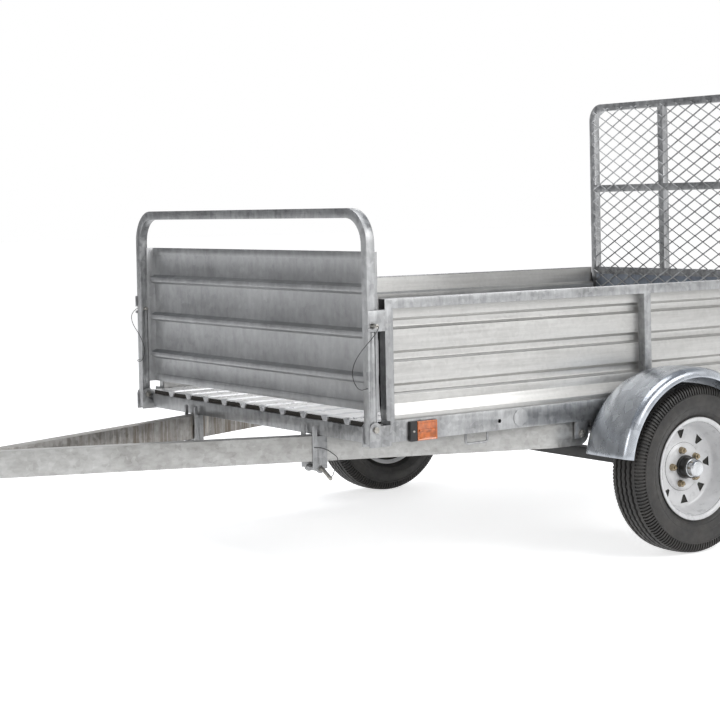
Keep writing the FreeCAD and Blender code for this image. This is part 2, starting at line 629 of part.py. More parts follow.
def bracket(name, post_face, toward, pivot, low, height, ears, notch):
    """A bolted bracket: a web on a post's face and ears round an upright.

    toward is +1 where the ears point forward.  pivot is (x, z).  ears lists (inner y, outer y) of
    each ear.  notch opens the bolt hole to the end of the ear, for a pin that swings out.
    """
    pivot_x, pivot_z = pivot
    inner, outer = ears[0][0], ears[-1][1]
    web_low = post_face if toward > 0 else f"({post_face} - web_sheet)"
    near_side = inner if len(ears) > 1 else PANEL_FACE
    turned = toward > 0 and notch
    far_side = f"({BED_HALF} - 2)" if turned else outer
    pieces = [box(f"{name}_web", (web_low, near_side, low), ("web_sheet", f"{far_side} - ({near_side})", height))]
    if turned:
        turn = [(post_face, far_side), (f"{post_face} + ear_start", outer),
                (f"{post_face} + ear_start + web_sheet", ears[-1][0]), (f"{post_face} + web_sheet", f"{far_side} - 3")]
        pieces.append(slab(f"{name}_turn", "z", f"{low} + ({height}) / 2", height, turn))
    hole = "bolt_radius + notch_clearance" if notch else "bolt_radius"
    for n, (near, far) in enumerate(ears):
        tip = f"ear_radius" if notch else "0"
        back = f"({post_face} + ear_start)" if turned else post_face
        start = back if toward > 0 else f"({pivot_x} - {tip})"
        length = f"{pivot_x} - {back} + {tip}" if toward > 0 else f"{post_face} - {pivot_x} + {tip}"
        across = f"{far} - ({near})"
        if notch:
            pieces.append(box(f"{name}_ear_{n}", (start, near, low), (length, across, height)))
            continue
        foot = f"({pivot_z} - ear_foot)" if toward > 0 else f"({pivot_z} - ear_radius)"
        top = f"({pivot_z} + ear_radius / 2)"
        pieces.append(box(f"{name}_ear_{n}", (start, near, foot), (length, across, f"{top} - {foot}")))
        pieces.append(rod(f"{name}_round_{n}", (pivot_x, near, pivot_z), "ear_radius", across, "y"))
        if toward > 0:
            pieces.append(box(f"{name}_ear_front_{n}", (pivot_x, near, foot),
                              ("ear_radius", across, f"{pivot_z} - {foot}")))
    solid = fuse(f"{name}_solid", pieces)
    depth = f"{outer} - ({inner}) + 2"
    tools = [rod(f"{name}_hole", (pivot_x, f"{inner} - 1", pivot_z), hole, depth, "y")]
    if notch:
        slot_start = pivot_x if toward > 0 else f"({pivot_x} - ear_radius - 1)"
        tools.append(box(f"{name}_slot", (slot_start, f"{inner} - 1", f"{pivot_z} - ({hole})"),
                         ("ear_radius + 1", depth, f"2 * ({hole})")))
    return cut(name, solid, tools)


def bolt(name, x, y_low, y_high, z, radius="bolt_radius"):
    """A hinge bolt along Y: shank, hexagon head at its high end and nut at its low end."""
    head = f"(1.7 * {radius})"
    pieces = [rod(f"{name}_shank", (x, y_low, z), radius, f"{y_high} - ({y_low})", "y")]
    for end, place_y in (("nut", f"{y_low} - {radius}"), ("head", y_high)):
        prism = DOC.addObject("Part::Prism", f"{name}_{end}")
        prism.Polygon = 6
        prism.Placement = Placement(Vector(), TURNS["y"])
        drive(prism, "Circumradius", head)
        drive(prism, "Height", radius)
        place(prism, x, place_y, z)
        pieces.append(prism)
    return fuse(name, pieces)


def gate_hardware():
    """Hinge brackets, hinge bolts and latch keepers of the front gate."""
    post_face = f"({FRONT} - post_setback)"
    half = "(gate_width / 2)"
    outer_ear = (f"{half} + ear_gap", f"{half} + ear_gap + ear_sheet")
    inner_ear = (f"{half} - gate_tube - ear_gap - ear_sheet", f"{half} - gate_tube - ear_gap")
    hinge = bracket("gate_hinge", post_face, 1, (GATE_PIVOT, "gate_pivot_height"), "gate_foot",
                    "bracket_height", [inner_ear, outer_ear], False)
    bolts = bolt("gate_bolt", GATE_PIVOT, inner_ear[0], outer_ear[1], "gate_pivot_height")
    keeper = bracket("gate_keeper", post_face, 1, (GATE_PIVOT, "latch_height"),
                     "(latch_height - keeper_under)", "keeper_height", [outer_ear], True)
    return pair("gate_hinge_brackets", hinge), pair("gate_hinge_bolts", bolts), pair("gate_keepers", keeper)


def ramp_hardware():
    """Hinge brackets, hinge bolts and latch keepers of the rear ramp."""
    half = "(ramp_width / 2)"
    outer_ear = (f"{half} + ear_gap", f"{half} + ear_gap + ear_sheet")
    inner_ear = (f"{half} - ramp_tube - ear_gap - ear_sheet", f"{half} - ramp_tube - ear_gap")
    hinge = bracket("ramp_hinge", REAR, -1, (RAMP_PIVOT, "ramp_pivot_height"), "ramp_foot",
                    "ramp_pivot_height + ear_radius - ramp_foot", [inner_ear, outer_ear], False)
    bolts = bolt("ramp_bolt", RAMP_PIVOT, inner_ear[0], outer_ear[1], "ramp_pivot_height")
    keeper = bracket("ramp_keeper", REAR, -1, (RAMP_PIVOT, "latch_height"),
                     "latch_height - keeper_height / 2", "keeper_height", [outer_ear], True)
    return pair("ramp_hinge_brackets", hinge), pair("ramp_hinge_bolts", bolts), pair("ramp_keepers", keeper)


def marker_lamp():
    """Left marker lamp on the rail: a base plate with a black end, and its lens."""
    low_z = "frame_bottom + (rail_height - lamp_height) / 2 - lamp_fall"
    back = f"({FRONT} - lamp_back - lamp_base)"
    base = fuse("marker_base", [
        box("marker_plate", (f"{back} - lamp_lens", BED_HALF, low_z),
            ("lamp_base + lamp_lens", "4", "lamp_height")),
        box("marker_end", (back, BED_HALF, low_z), ("lamp_base", "lamp_depth - 3", "lamp_height"))])
    lens = box("marker_lens", (f"{back} - lamp_lens", f"{BED_HALF} + 4", low_z),
               ("lamp_lens", "lamp_depth - 4", "lamp_height"))
    return base, lens


def tail_lamp():
    """Left tail lamp: a black housing that hangs from the rear cross-member, and its lens."""
    low = (f"{REAR} + 8", "(tail_spread - tail_width) / 2", "frame_bottom - tail_height - 4")
    lens = box("tail_lens_left", (f"{REAR} - 2", low[1], low[2]), ("10", "tail_width", "tail_height"))
    housing = fuse("tail_base", [
        box("tail_case", low, ("tail_depth", "tail_width", "tail_height")),
        box("tail_strap", (f"{REAR} + 12", "tail_spread / 2 - 30", "frame_bottom - 4"), ("20", "60", "4"))])
    return housing, lens


def tie_down(name, middle):
    """A bent rod loop that hangs from the left rail."""
    x = size(f"{FRONT} - ({middle})")
    half = size("loop_length / 2 - loop_rod")
    y = size(f"{BED_HALF} - rail_width / 2")
    top = size("frame_bottom")
    low = size("frame_bottom - loop_drop + loop_rod")
    points = [(x + half, y, top), (x + half, y, low), (x - half, y, low), (x - half, y, top)]
    return shape(name, bent_rod(points, size("loop_rod"), size("loop_rod * 2.2")))


# ------------------------------------------------------------------ running gear
def axle():
    """Square axle tube with a round spindle at each end."""
    tube_half = "(spring_spread / 2 + 75)"
    bar = tube("axle_tube", (f"{WHEEL} - axle_size / 2", f"-{tube_half}", "tyre_radius - axle_size / 2"),
               ("axle_size", f"2 * {tube_half}", "axle_size"), "axle_wall", "y")
    spindles = []
    for side, sign in SIDES:
        low = f"{tube_half} - 20" if sign > 0 else f"0 - {DISC_FACE} - hub_out + 12"
        spindles.append(rod(f"spindle_{side}", (WHEEL, low, "tyre_radius"), "spindle_radius",
                            f"{DISC_FACE} + hub_out - 12 - ({tube_half} - 20)", "y"))
        plug_low = f"{tube_half} - 20" if sign > 0 else f"0 - {tube_half} + 8"
        spindles.append(box(f"axle_end_{side}", (f"{WHEEL} - axle_size / 2 + axle_wall", plug_low,
                                                 "tyre_radius - axle_size / 2 + axle_wall"),
                            ("axle_size - 2 * axle_wall", "12", "axle_size - 2 * axle_wall")))
    return fuse("axle", [bar] + spindles)


def arc_strip(middle_x, middle_z, rise, half, thickness):
    """A curved leaf: its top face passes through the middle and rises to both ends."""
    faces = []
    for drop in (0, thickness):
        faces.append([Vector(middle_x - half, 0, middle_z + rise - drop), Vector(middle_x, 0, middle_z - drop),
                      Vector(middle_x + half, 0, middle_z + rise - drop)])
    top, under = faces
    wire = Part.Wire([Part.Arc(*top).toShape(), Part.LineSegment(top[2], under[2]).toShape(),
                      Part.Arc(*under[::-1]).toShape(), Part.LineSegment(under[0], top[0]).toShape()])
    return Part.Face(wire)


def leaf_spring():
    """Left spring: a main leaf with rolled eyes over two shorter leaves on the axle."""
    wheel_x = size(WHEEL)
    thick = size("leaf_sheet")
    seat = size("tyre_radius + axle_size / 2")
    half = size("spring_half")
    width = size("spring_width")
    eye = size("eye_radius")
    low_y = size("spring_spread / 2 - spring_width / 2")
    rise = size("eye_height") - (seat + 3 * thick) - eye + thick
    leaves = []
    for order, share in ((2, 1.0), (1, 0.72), (0, 0.42)):
        top = seat + (order + 1) * thick
        leaf = arc_strip(wheel_x, top, rise * share ** 2, (half - 4) * share, thick)
        leaves.append(leaf.extrude(Vector(0, width, 0)))
    solid = leaves[0].multiFuse(leaves[1:])
    for sign in (1, -1):
        centre = Vector(wheel_x + sign * half, 0, size("eye_height"))
        solid = solid.fuse(Part.makeCylinder(eye, width, centre, Vector(0, 1, 0)))
    for sign in (1, -1):
        centre = Vector(wheel_x + sign * half, -1, size("eye_height"))
        solid = solid.cut(Part.makeCylinder(eye - thick + 1, width + 2, centre, Vector(0, 1, 0)))
    item = shape("leaf_spring_left", solid.removeSplitter())
    item.Placement = Placement(Vector(0, low_y, 0), Rotation())
    return item


def spring_hangers():
    """Left hangers: two plates and a pin at each spring eye, welded under the rail."""
    pieces = []
    for name, sign in (("front", 1), ("rear", -1)):
        x = f"({WHEEL} + {sign} * spring_half)"
        inner = "(spring_spread / 2 - spring_width / 2 - seat_gap)"
        outer = "(spring_spread / 2 + spring_width / 2 + seat_gap)"
        plates = []
        for n, low_y in enumerate((f"{inner} - hanger_sheet", outer)):
            plates.append(box(f"hanger_{name}_{n}", (f"{x} - hanger_length / 2", low_y, "eye_height - eye_radius"),
                              ("hanger_length", "hanger_sheet", "frame_bottom - eye_height + eye_radius")))
        top = box(f"hanger_{name}_top", (f"{x} - hanger_length / 2", f"{inner} - hanger_sheet",
                                         "frame_bottom - hanger_sheet"),
                  ("hanger_length", f"{outer} - {inner} + 2 * hanger_sheet", "hanger_sheet"))
        pin = rod(f"hanger_{name}_pin", (x, f"{inner} - hanger_sheet - 5", "eye_height"),
                  "eye_radius - leaf_sheet + 1 - seat_gap", f"{outer} - {inner} + 2 * hanger_sheet + 10", "y")
        pieces.append(fuse(f"hanger_{name}", plates + [top, pin]))
    return group("hangers_side", pieces)


def axle_clamp():
    """Left axle clamp: a plate under the axle, a cap over the leaves and four bolts."""
    y = "(spring_spread / 2)"
    seat = "(tyre_radius + axle_size / 2 + 3 * leaf_sheet)"
    under = "(tyre_radius - axle_size / 2)"
    reach = "(axle_size / 2 + 9)"
    plate = box("clamp_plate", (f"{WHEEL} - {reach} - 9", f"{y} - spring_width / 2 - 16", f"{under} - 8"),
                (f"2 * {reach} + 18", "spring_width + 32", "8"))
    cap = box("clamp_cap", (f"{WHEEL} - {reach} - 9", f"{y} - spring_width / 2 - 16", f"{seat} + leaf_sheet"),
              (f"2 * {reach} + 18", "spring_width + 32", "7"))
    pad = box("clamp_pad", (f"{WHEEL} - 10", f"{y} - spring_width / 2", f"{seat} + seat_gap"),
              ("20", "spring_width", "leaf_sheet"))
    bolts = []
    for a in (1, -1):
        for b in (1, -1):
            bolts.append(rod(f"clamp_bolt_{a + 1}{b + 1}",
                             (f"{WHEEL} + {a} * {reach}", f"{y} + {b} * (spring_width / 2 + 8)", f"{under} - 16"),
                             "5", f"{seat} - {under} + 32", "z"))
    return fuse("axle_clamp_side", [plate, cap, pad] + bolts)


# (out from the bed's side, below the crown) along the fender's outer face
FENDER_SECTION = [(0, 63), (14, 38), (37, 20.5), (75, 8), (122, 1.5), (175, 0), (222, 1), (241, 10.5), (247, 32.5)]


def fender():
    """Left fender: a hump-shaped sheet revolved round a circle ahead of the axle and above it."""
    inner, sheet = size(f"{BED_HALF} + seat_gap"), size("fender_sheet")
    crown, flange = size("fender_radius"), size("fender_flange")
    spread = size("fender_width - seat_gap") / FENDER_SECTION[-1][0]
    face_points = [Vector(inner + out * spread, crown - drop, 0) for out, drop in FENDER_SECTION]
    under = []
    for before, here, after in zip(face_points[:1] + face_points, face_points, face_points[1:] + face_points[-1:]):
        along = (after - before).normalize()
        under.append(here + Vector(along.y, -along.x, 0) * sheet)
    first, last = face_points[0], face_points[-1]
    foot = first - Vector(0, flange, 0)
    under[0] = Vector(first.x + sheet, under[0].y, 0)
    corners = [under[0], foot + Vector(sheet, 0, 0), foot, first]
    edges = [Part.LineSegment(*ends).toShape() for ends in zip(corners, corners[1:])]
    for points in (face_points, under):
        for n in range(0, len(points) - 2, 2):
            edges.append(Part.Arc(*points[n:n + 3]).toShape())
    edges.append(Part.LineSegment(last, under[-1]).toShape())
    face = Part.Face(Part.Wire(Part.__sortEdges__(edges)))
    face.transformShape(FreeCAD.Matrix(0, 1, 0, 0, 1, 0, 0, 0, 0, 0, -1, 0))
    lift = size("fender_lift")
    face.rotate(Vector(), Vector(0, 1, 0), -lift)
    item = shape("fender_left", face.revolve(Vector(), Vector(0, 1, 0), 2 * lift - 180))
    middle = Vector(size(f"{WHEEL} + fender_forward"), 0, size("tyre_radius + fender_raise"))
    item.Placement = Placement(middle, Rotation())
    return item


def tilt_lugs():
    """Left tilt lugs: a plate on each side of the drawbar's rear end, under the frame."""
    outer_low = f"({BEAM_TAIL} + lug_gap)"
    inner_low = f"({BEAM_TAIL} - beam_width - lug_gap - lug_sheet)"
    low = f"({TILT_HEIGHT} - lug_end)"
    pieces = []
    for name, low_y in (("outer", outer_low), ("inner", inner_low)):
        plate = box(f"lug_{name}_plate", (f"{TILT_PIVOT} - lug_half", low_y, low),
                    ("2 * lug_half", "lug_sheet", f"frame_bottom - {low}"))
        pieces.append(cut(f"lug_{name}", plate, [
            rod(f"lug_{name}_hole", (TILT_PIVOT, f"{low_y} - 1", TILT_HEIGHT), "tilt_bolt", "lug_sheet + 2", "y")]))
    strap = box("lug_strap", (f"{TILT_PIVOT} - lug_half / 2", inner_low, "frame_bottom"),
                ("1.5 * lug_half", f"{RAIL_INNER} - {inner_low}", "web_sheet"))
    pin = bolt("tilt_bolt_side", TILT_PIVOT, inner_low, f"{outer_low} + lug_sheet", TILT_HEIGHT, "tilt_bolt")
    return group("tilt_lugs_side", [pieces[0], fuse("lug_inner_strap", [pieces[1], strap])]), pin


# ------------------------------------------------------------------ wheels
# a stud's and a window's angle round the axle, from +X towards +Z, as the wheels stand
STUD_TURN, WINDOW_TURN = 4, -3


def tyre():
    """Left tyre about the origin: a bead-to-bead carcass with rounded shoulders."""
    radius, half, wall = size("tyre_radius"), size("tyre_width / 2"), size("tyre_wall")
    seat, flange = size("seat_radius"), size("rim_radius")
    bead = size("rim_width / 2") - 0.5
    side = (radius + seat) / 2 - 4
    tread = half - 16
    lip = flange + 4
    profile = [(-bead, seat), (-bead, lip), (-half + 5, side - 16), (-half, side + 2), (-half + 4, side + 30),
               (-tread - 2, radius - 10), (-tread + 4, radius - 2), (0, radius), (tread - 4, radius - 2),
               (tread + 2, radius - 10), (half - 4, side + 30), (half, side + 2), (half - 5, side - 16),
               (bead, lip), (bead, seat), (bead - wall, seat), (bead - wall, lip),
               (half - wall, side), (tread - 2, radius - wall - 7), (-tread + 2, radius - wall - 7),
               (-half + wall, side), (-bead + wall, lip), (-bead + wall, seat)]
    return revolved(profile)


def rim():
    """Left rim about the origin: a drop-centre barrel and a disc with studs' holes and windows."""
    half, sheet = size("rim_width / 2"), size("rim_sheet")
    seat, flange = size("seat_radius") - 0.3, size("rim_radius")
    disc = size(f"{DISC_FACE} - wheel_track / 2")
    well = seat - 22
    barrel = revolved([(-half - 7, flange - 3), (-half, flange), (-half, seat), (-half + 24, seat),
                       (-half + 32, well), (half - 44, well), (half - 34, seat), (half, seat),
                       (half, flange), (half + 7, flange - 3), (half + 7, flange - 3 - sheet),
                       (half + sheet, flange - 3 - sheet), (half + sheet, seat - sheet),
                       (half - 36, seat - sheet), (half - 46, well - sheet), (-half + 30, well - sheet),
                       (-half + 22, seat - sheet), (-half - sheet, seat - sheet),
                       (-half - sheet, flange - 3 - sheet), (-half - 7, flange - 3 - sheet)])
    edge, bore = size("disc_radius"), size("bore_radius")
    dish = 12
    plate = revolved([(disc, bore), (disc, 74), (disc + dish, 92), (disc + dish, edge - 12),
                      (disc + dish - 8, edge - 2), (disc + dish - 24, well - sheet + 0.5),
                      (disc + dish - 24 - sheet, well - sheet + 0.5), (disc + dish - 8 - sheet, edge - 5),
                      (disc + dish - sheet, edge - 14), (disc + dish - sheet, 93), (disc - sheet, 75),
                      (disc - sheet, bore)])
    solid = barrel.fuse(plate)
    hole = size("stud_radius + stud_clearance")
    ring = size("stud_circle / 2")
    tools = []
    for n in range(5):
        angle = math.radians(STUD_TURN + 72 * n)
        at = Vector(ring * math.cos(angle), disc - 20, ring * math.sin(angle))
        tools.append(Part.makeCylinder(hole, 40, at, Vector(0, 1, 0)))
    window = size("window_circle")
    for n in range(8):
        angle = math.radians(WINDOW_TURN + 45 * n)
        corners = [(window + 13, -15), (window + 13, 15), (window - 14, 0)]
        ring_points = [Vector(r * math.cos(angle) - w * math.sin(angle), disc - 20,
                              r * math.sin(angle) + w * math.cos(angle)) for r, w in corners]
        tools.append(Part.Face(Part.makePolygon(ring_points + ring_points[:1])).extrude(Vector(0, 60, 0)))
    return solid.cut(tools)


def hub():
    """Left hub about the origin: flange, barrel, cap, five studs and their nuts."""
    disc = size(f"{DISC_FACE} - wheel_track / 2")
    back = disc - size("rim_sheet")
    flange, barrel, cap = size("flange_radius"), size("hub_radius"), size("cap_radius")
    out, tip = disc + size("hub_out"), disc + size("hub_out + cap_out")
    bore = size("spindle_radius") + 0.05
    rear = back - 34
    end = out - 10
    solid = revolved([(rear, bore), (rear, barrel), (back - 9, barrel), (back - 9, flange), (back, flange),
                      (back, barrel), (out - 4, barrel), (out, barrel - 4), (out, cap), (tip - 6, cap),
                      (tip, cap - 7), (tip, 0), (end, 0), (end, bore)])
    ring, stud = size("stud_circle / 2"), size("stud_radius")
    across, height = size("nut_across"), size("nut_height")
    for n in range(5):
        angle = math.radians(STUD_TURN + 72 * n)
        at = Vector(ring * math.cos(angle), back - 5, ring * math.sin(angle))
        solid = solid.fuse(Part.makeCylinder(stud, disc - back + 5 + height + 6, at, Vector(0, 1, 0)))
        corners = [Vector(at.x + across / math.sqrt(3) * math.cos(math.radians(60 * k)), disc,
                          at.z + across / math.sqrt(3) * math.sin(math.radians(60 * k))) for k in range(7)]
        solid = solid.fuse(Part.Face(Part.makePolygon(corners)).extrude(Vector(0, height, 0)))
    return solid


def wheels():
    """Tyre, rim and hub of both wheels, the right-hand ones mirrored."""
    nodes = []
    for name, solid in (("tyre", tyre()), ("rim", rim()), ("hub", hub())):
        left = shape(f"{name}_left", solid)
        left.Placement = Placement(Vector(size(WHEEL), size("wheel_track / 2"), size("tyre_radius")), Rotation())
        nodes += [left, mirror(f"{name}_right", left)]
    return nodes


# ------------------------------------------------------------------ tongue
def beam():
    """Left drawbar: a tube that runs out from the middle, bends along the rail and ends round its bolt."""
    tail = f"({TILT_PIVOT} - tilt_radius)"

    def slanted(x_from_front, inset):
        return f"(beam_outer - ({inset}) * {BEAM_LEAN} - beam_slope * ({x_from_front}))"

    def bend(inset):
        ahead = f"((beam_outer - {BEAM_TAIL} - ({inset}) * ({BEAM_LEAN} - 1)) / beam_slope)"
        return (f"{FRONT} + {ahead}", f"{BEAM_TAIL} - ({inset})")

    def run(name, height, wall, front, back):
        far = f"beam_width - ({wall})"
        meet = f"((beam_outer - ({far}) * {BEAM_LEAN} - seat_gap / 2) / beam_slope)"
        tip = [(f"{FRONT} + {front}", slanted(front, wall))]
        if wall == "0":
            tip += [(f"{FRONT} + {front}", "seat_gap / 2"), (f"{FRONT} + {meet}", "seat_gap / 2")]
        else:
            tip += [(f"{FRONT} + {front}", slanted(front, far))]
        points = tip + [bend(far), (back, f"{BEAM_TAIL} - ({far})"), (back, f"{BEAM_TAIL} - ({wall})"), bend(wall)]
        body = slab(name, "z", BEAM_MIDDLE, height, points)
        round_corners(body, "z", [bend(wall)], f"beam_bend - ({wall})")
        round_corners(body, "z", [bend(far)], f"beam_bend - ({far})")
        return body
    outer = run("beam_outer_solid", "beam_height", "0", "beam_front", tail)
    bore = run("beam_bore", "beam_height - 2 * beam_wall", "beam_wall", "(coupler_back - 40)", f"{tail} - 1")
    low_y = f"({BEAM_TAIL} - beam_width - 1)"
    corner = cut("beam_corner", box("beam_corner_box", (f"{tail} - 2", low_y, f"{BEAM_TOP} - beam_height - 1"),
                                    ("tilt_radius + 2", "beam_width + 2", "beam_height + 2")),
                 [rod("beam_corner_round", (TILT_PIVOT, f"{low_y} - 1", TILT_HEIGHT), "tilt_radius",
                      "beam_width + 4", "y")])
    hole = rod("beam_hole", (TILT_PIVOT, low_y, TILT_HEIGHT), "tilt_bolt + bolt_clearance", "beam_width + 2", "y")
    return cut("tongue_beam_left", outer, [fuse("beam_tools", [bore, corner, hole])])


def coupler():
    """Coupler: a plate and skirts over the drawbars' front ends, and a nose with the ball socket."""
    def outer(x_from_front, out="0"):
        return f"(beam_outer + ({out}) * {BEAM_LEAN} - beam_slope * ({x_from_front}))"
    back, front = "coupler_back", "beam_front"
    top = f"({BEAM_TOP} + coupler_sheet)"
    plate = slab("coupler_plate", "z", f"{BEAM_TOP} + coupler_sheet / 2", "coupler_sheet", [
        (f"{FRONT} + {back}", outer(back, "coupler_sheet")), (f"{FRONT} + {front} - 30", outer(f"{front} - 30", "coupler_sheet")),
        (f"{FRONT} + {front} + 20", "nose_radius"), (f"{FRONT} + tongue_reach - nose_radius", "nose_radius"),
        (f"{FRONT} + tongue_reach - nose_radius", "0 - nose_radius"), (f"{FRONT} + {front} + 20", "0 - nose_radius"),
        (f"{FRONT} + {front} - 30", f"0 - {outer(f'{front} - 30', 'coupler_sheet')}"),
        (f"{FRONT} + {back}", f"0 - {outer(back, 'coupler_sheet')}")])
    pieces = [plate]
    for side, sign in SIDES:
        skirt = [(f"{FRONT} + {back}", f"({sign}) * {outer(back)}"), (f"{FRONT} + {front}", f"({sign}) * {outer(front)}"),
                 (f"{FRONT} + {front}", f"({sign}) * {outer(front, 'coupler_sheet')}"),
                 (f"{FRONT} + {back}", f"({sign}) * {outer(back, 'coupler_sheet')}")]
        pieces.append(slab(f"coupler_skirt_{side}", "z", f"{top} - coupler_skirt / 2", "coupler_skirt", skirt))
    for side, sign in SIDES:
        low_y = "nose_radius - coupler_sheet" if sign > 0 else "0 - nose_radius"
        pieces.append(box(f"coupler_cheek_{side}", (f"{FRONT} + {front} + 20", low_y, f"{top} - coupler_skirt"),
                          (f"tongue_reach - nose_radius - {front} - 20", "coupler_sheet", "coupler_skirt")))
    pieces.append(box("coupler_bulkhead", (f"{FRONT} + {front} + 1", "0 - nose_radius", f"{top} - coupler_skirt"),
                      ("20", "2 * nose_radius", "coupler_skirt")))
    nose = rod("coupler_nose", (f"{FRONT} + tongue_reach - nose_radius", "0", "socket_mouth"), "nose_radius",
               f"{top} - socket_mouth + 8", "z")
    solid = fuse("coupler_solid", pieces + [nose])
    ball_height = f"({top} - ball_radius - 2)"
    ball = DOC.addObject("Part::Sphere", "coupler_ball")
    drive(ball, "Radius", "ball_radius")
    place(ball, f"{FRONT} + tongue_reach - nose_radius", 0, ball_height)
    bore = rod("coupler_bore", (f"{FRONT} + tongue_reach - nose_radius", "0", "socket_mouth - 1"), "ball_radius",
               f"{ball_height} - socket_mouth + 1", "z")
    jack_hole = rod("coupler_jack_hole", (JACK, "0", f"{BEAM_TOP} - 1"), "jack_radius + jack_clearance",
                    "coupler_sheet + 2", "z")
    return cut("coupler", solid, [fuse("coupler_socket", [ball, bore]), jack_hole])


def coupler_latch():
    """Coupler latch: a lever on a block behind the nose."""
    top = f"({BEAM_TOP} + coupler_sheet)"
    x = f"({FRONT} + tongue_reach - nose_radius)"
    return fuse("coupler_latch", [
        box("latch_block", (f"{x} - 110", "0 - 14", top), ("50", "28", "26")),
        box("latch_lever", (f"{x} - 150", "0 - 11", f"{top} + 26"), ("95", "22", "5")),
        box("latch_grip", (f"{x} - 158", "0 - 11", f"{top} + 26"), ("8", "22", "22"))])


def jack():
    """Jack plate, outer tube and crank on the drawbars, and the inner leg with its foot."""
    seat = f"({BEAM_TOP} + coupler_sheet)"
    hole = rod("jack_plate_hole", (JACK, "0", f"{seat} - 1"), "jack_radius + jack_clearance", "foot_sheet + 2", "z")
    plate = box("jack_plate_solid", (f"{JACK} - jack_flange", "0 - nose_radius", seat),
                ("2 * jack_flange", "2 * nose_radius", "foot_sheet"))
    jack_plate = cut("jack_plate", plate, [hole])
    tube_solid = rod("jack_tube_solid", (JACK, "0", "jack_foot"), "jack_radius", "jack_top - jack_foot", "z")
    tube_bore = rod("jack_tube_bore", (JACK, "0", "jack_foot - 1"), "jack_bore + jack_clearance",
                    "jack_top - jack_foot - 5", "z")
    head = box("jack_head", (f"{JACK} - 26", "0 - 36", "jack_top"), ("52", "72", "30"))
    jack_tube = cut("jack_tube", fuse("jack_tube_head", [tube_solid, head]), [tube_bore])
    x, high = size(JACK), size("jack_top + 15")
    handle = [(x, -36, high), (x, -70, high), (x, -70, high - 130), (x, -140, high - 130)]
    crank = shape("jack_crank", bent_rod(handle, 6, 14).fuse(
        Part.makeCylinder(14, 85, Vector(x, -88, high - 130), Vector(0, -1, 0))))
    leg = rod("jack_leg_tube", (JACK, "0", "foot_sheet"), "jack_bore", "leg_top - foot_sheet", "z")
    foot = box("jack_foot_plate", (f"{JACK} - foot_length / 2", "0 - foot_length / 3", "0"),
               ("foot_length", "foot_length * 2 / 3", "foot_sheet"))
    return jack_plate, jack_tube, crank, fuse("jack_leg", [leg, foot])


def latch_seat():
    """Place of the left tilt latch: its own X runs along the drawbar, its Y outward."""
    forward = size("latch_forward")
    turn = Rotation(Vector(0, 0, 1), -math.degrees(math.atan(size("beam_slope"))))
    side = size(f"beam_outer - beam_width / 2 * {BEAM_LEAN} - beam_slope * latch_forward")
    return Placement(Vector(size(FRONT) + forward, side, 0), turn)


def tilt_latch():
    """Left tilt latch: two plates beside the drawbar with tabs, a sleeve below and the pin in it."""
    plates = []
    reach = "(beam_width / 2 + lug_gap)"
    low = "(latch_foot + latch_round)"
    for n, (low_v, pad_v) in enumerate(((reach, "beam_width / 2"), (f"(0 - {reach} - ear_sheet)", f"0 - {reach}"))):
        middle = f"(0 - beam_slope * ({low_v} + ear_sheet / 2))"
        front = f"({middle} + latch_plate / 2)"
        plates.append(fuse(f"latch_plate_{n}", [
            box(f"latch_side_{n}", (f"{middle} - latch_plate / 2", low_v, low),
                ("latch_plate", "ear_sheet", f"{BEAM_TOP} - {low}")),
            rod(f"latch_round_{n}", (middle, low_v, low), "latch_round", "ear_sheet", "y"),
            box(f"latch_tab_{n}", (f"{front} - latch_tab", low_v, f"{BEAM_TOP} - latch_tab"),
                ("latch_tab", "ear_sheet", "latch_tab_rise + latch_tab / 2")),
            rod(f"latch_tip_{n}", (f"{front} - latch_tab / 2", low_v, f"{BEAM_TOP} + latch_tab_rise - latch_tab / 2"),
                "latch_tab / 2", "ear_sheet", "y"),
            box(f"latch_pad_{n}", (f"{middle} - latch_round / 2", pad_v, f"{BEAM_TOP} - beam_height / 2"),
                ("latch_round", "lug_gap", "latch_round"))]))
    seat = latch_seat()
    seated = group("tilt_latch_seated", plates)
    seated.Placement = seat
    high = size(low)
    half = size(f"({reach} + ear_sheet) * {BEAM_LEAN}")
    sleeve = shape("tilt_latch_sleeve", Part.makeCylinder(
        size("latch_sleeve"), 2 * half - 2, seat.Base + Vector(0, 1 - half, high), Vector(0, 1, 0)))
    bore = shape("tilt_latch_bore", Part.makeCylinder(
        size("latch_pin"), 2 * half + 40, seat.Base + Vector(0, -half - 20, high), Vector(0, 1, 0)))
    brackets = cut("tilt_latch_plates", fuse("tilt_latch_solid", [seated, sleeve]), [bore])
    points = [(0, -half - 10, 0), (0, half + 12, 0), (0, half + 58, -26)]
    pin = shape("tilt_latch_pin", bent_rod(points, size("latch_pin"), 9))
    pin.Placement = Placement(seat.Base + Vector(0, 0, high), Rotation())
    return brackets, pin


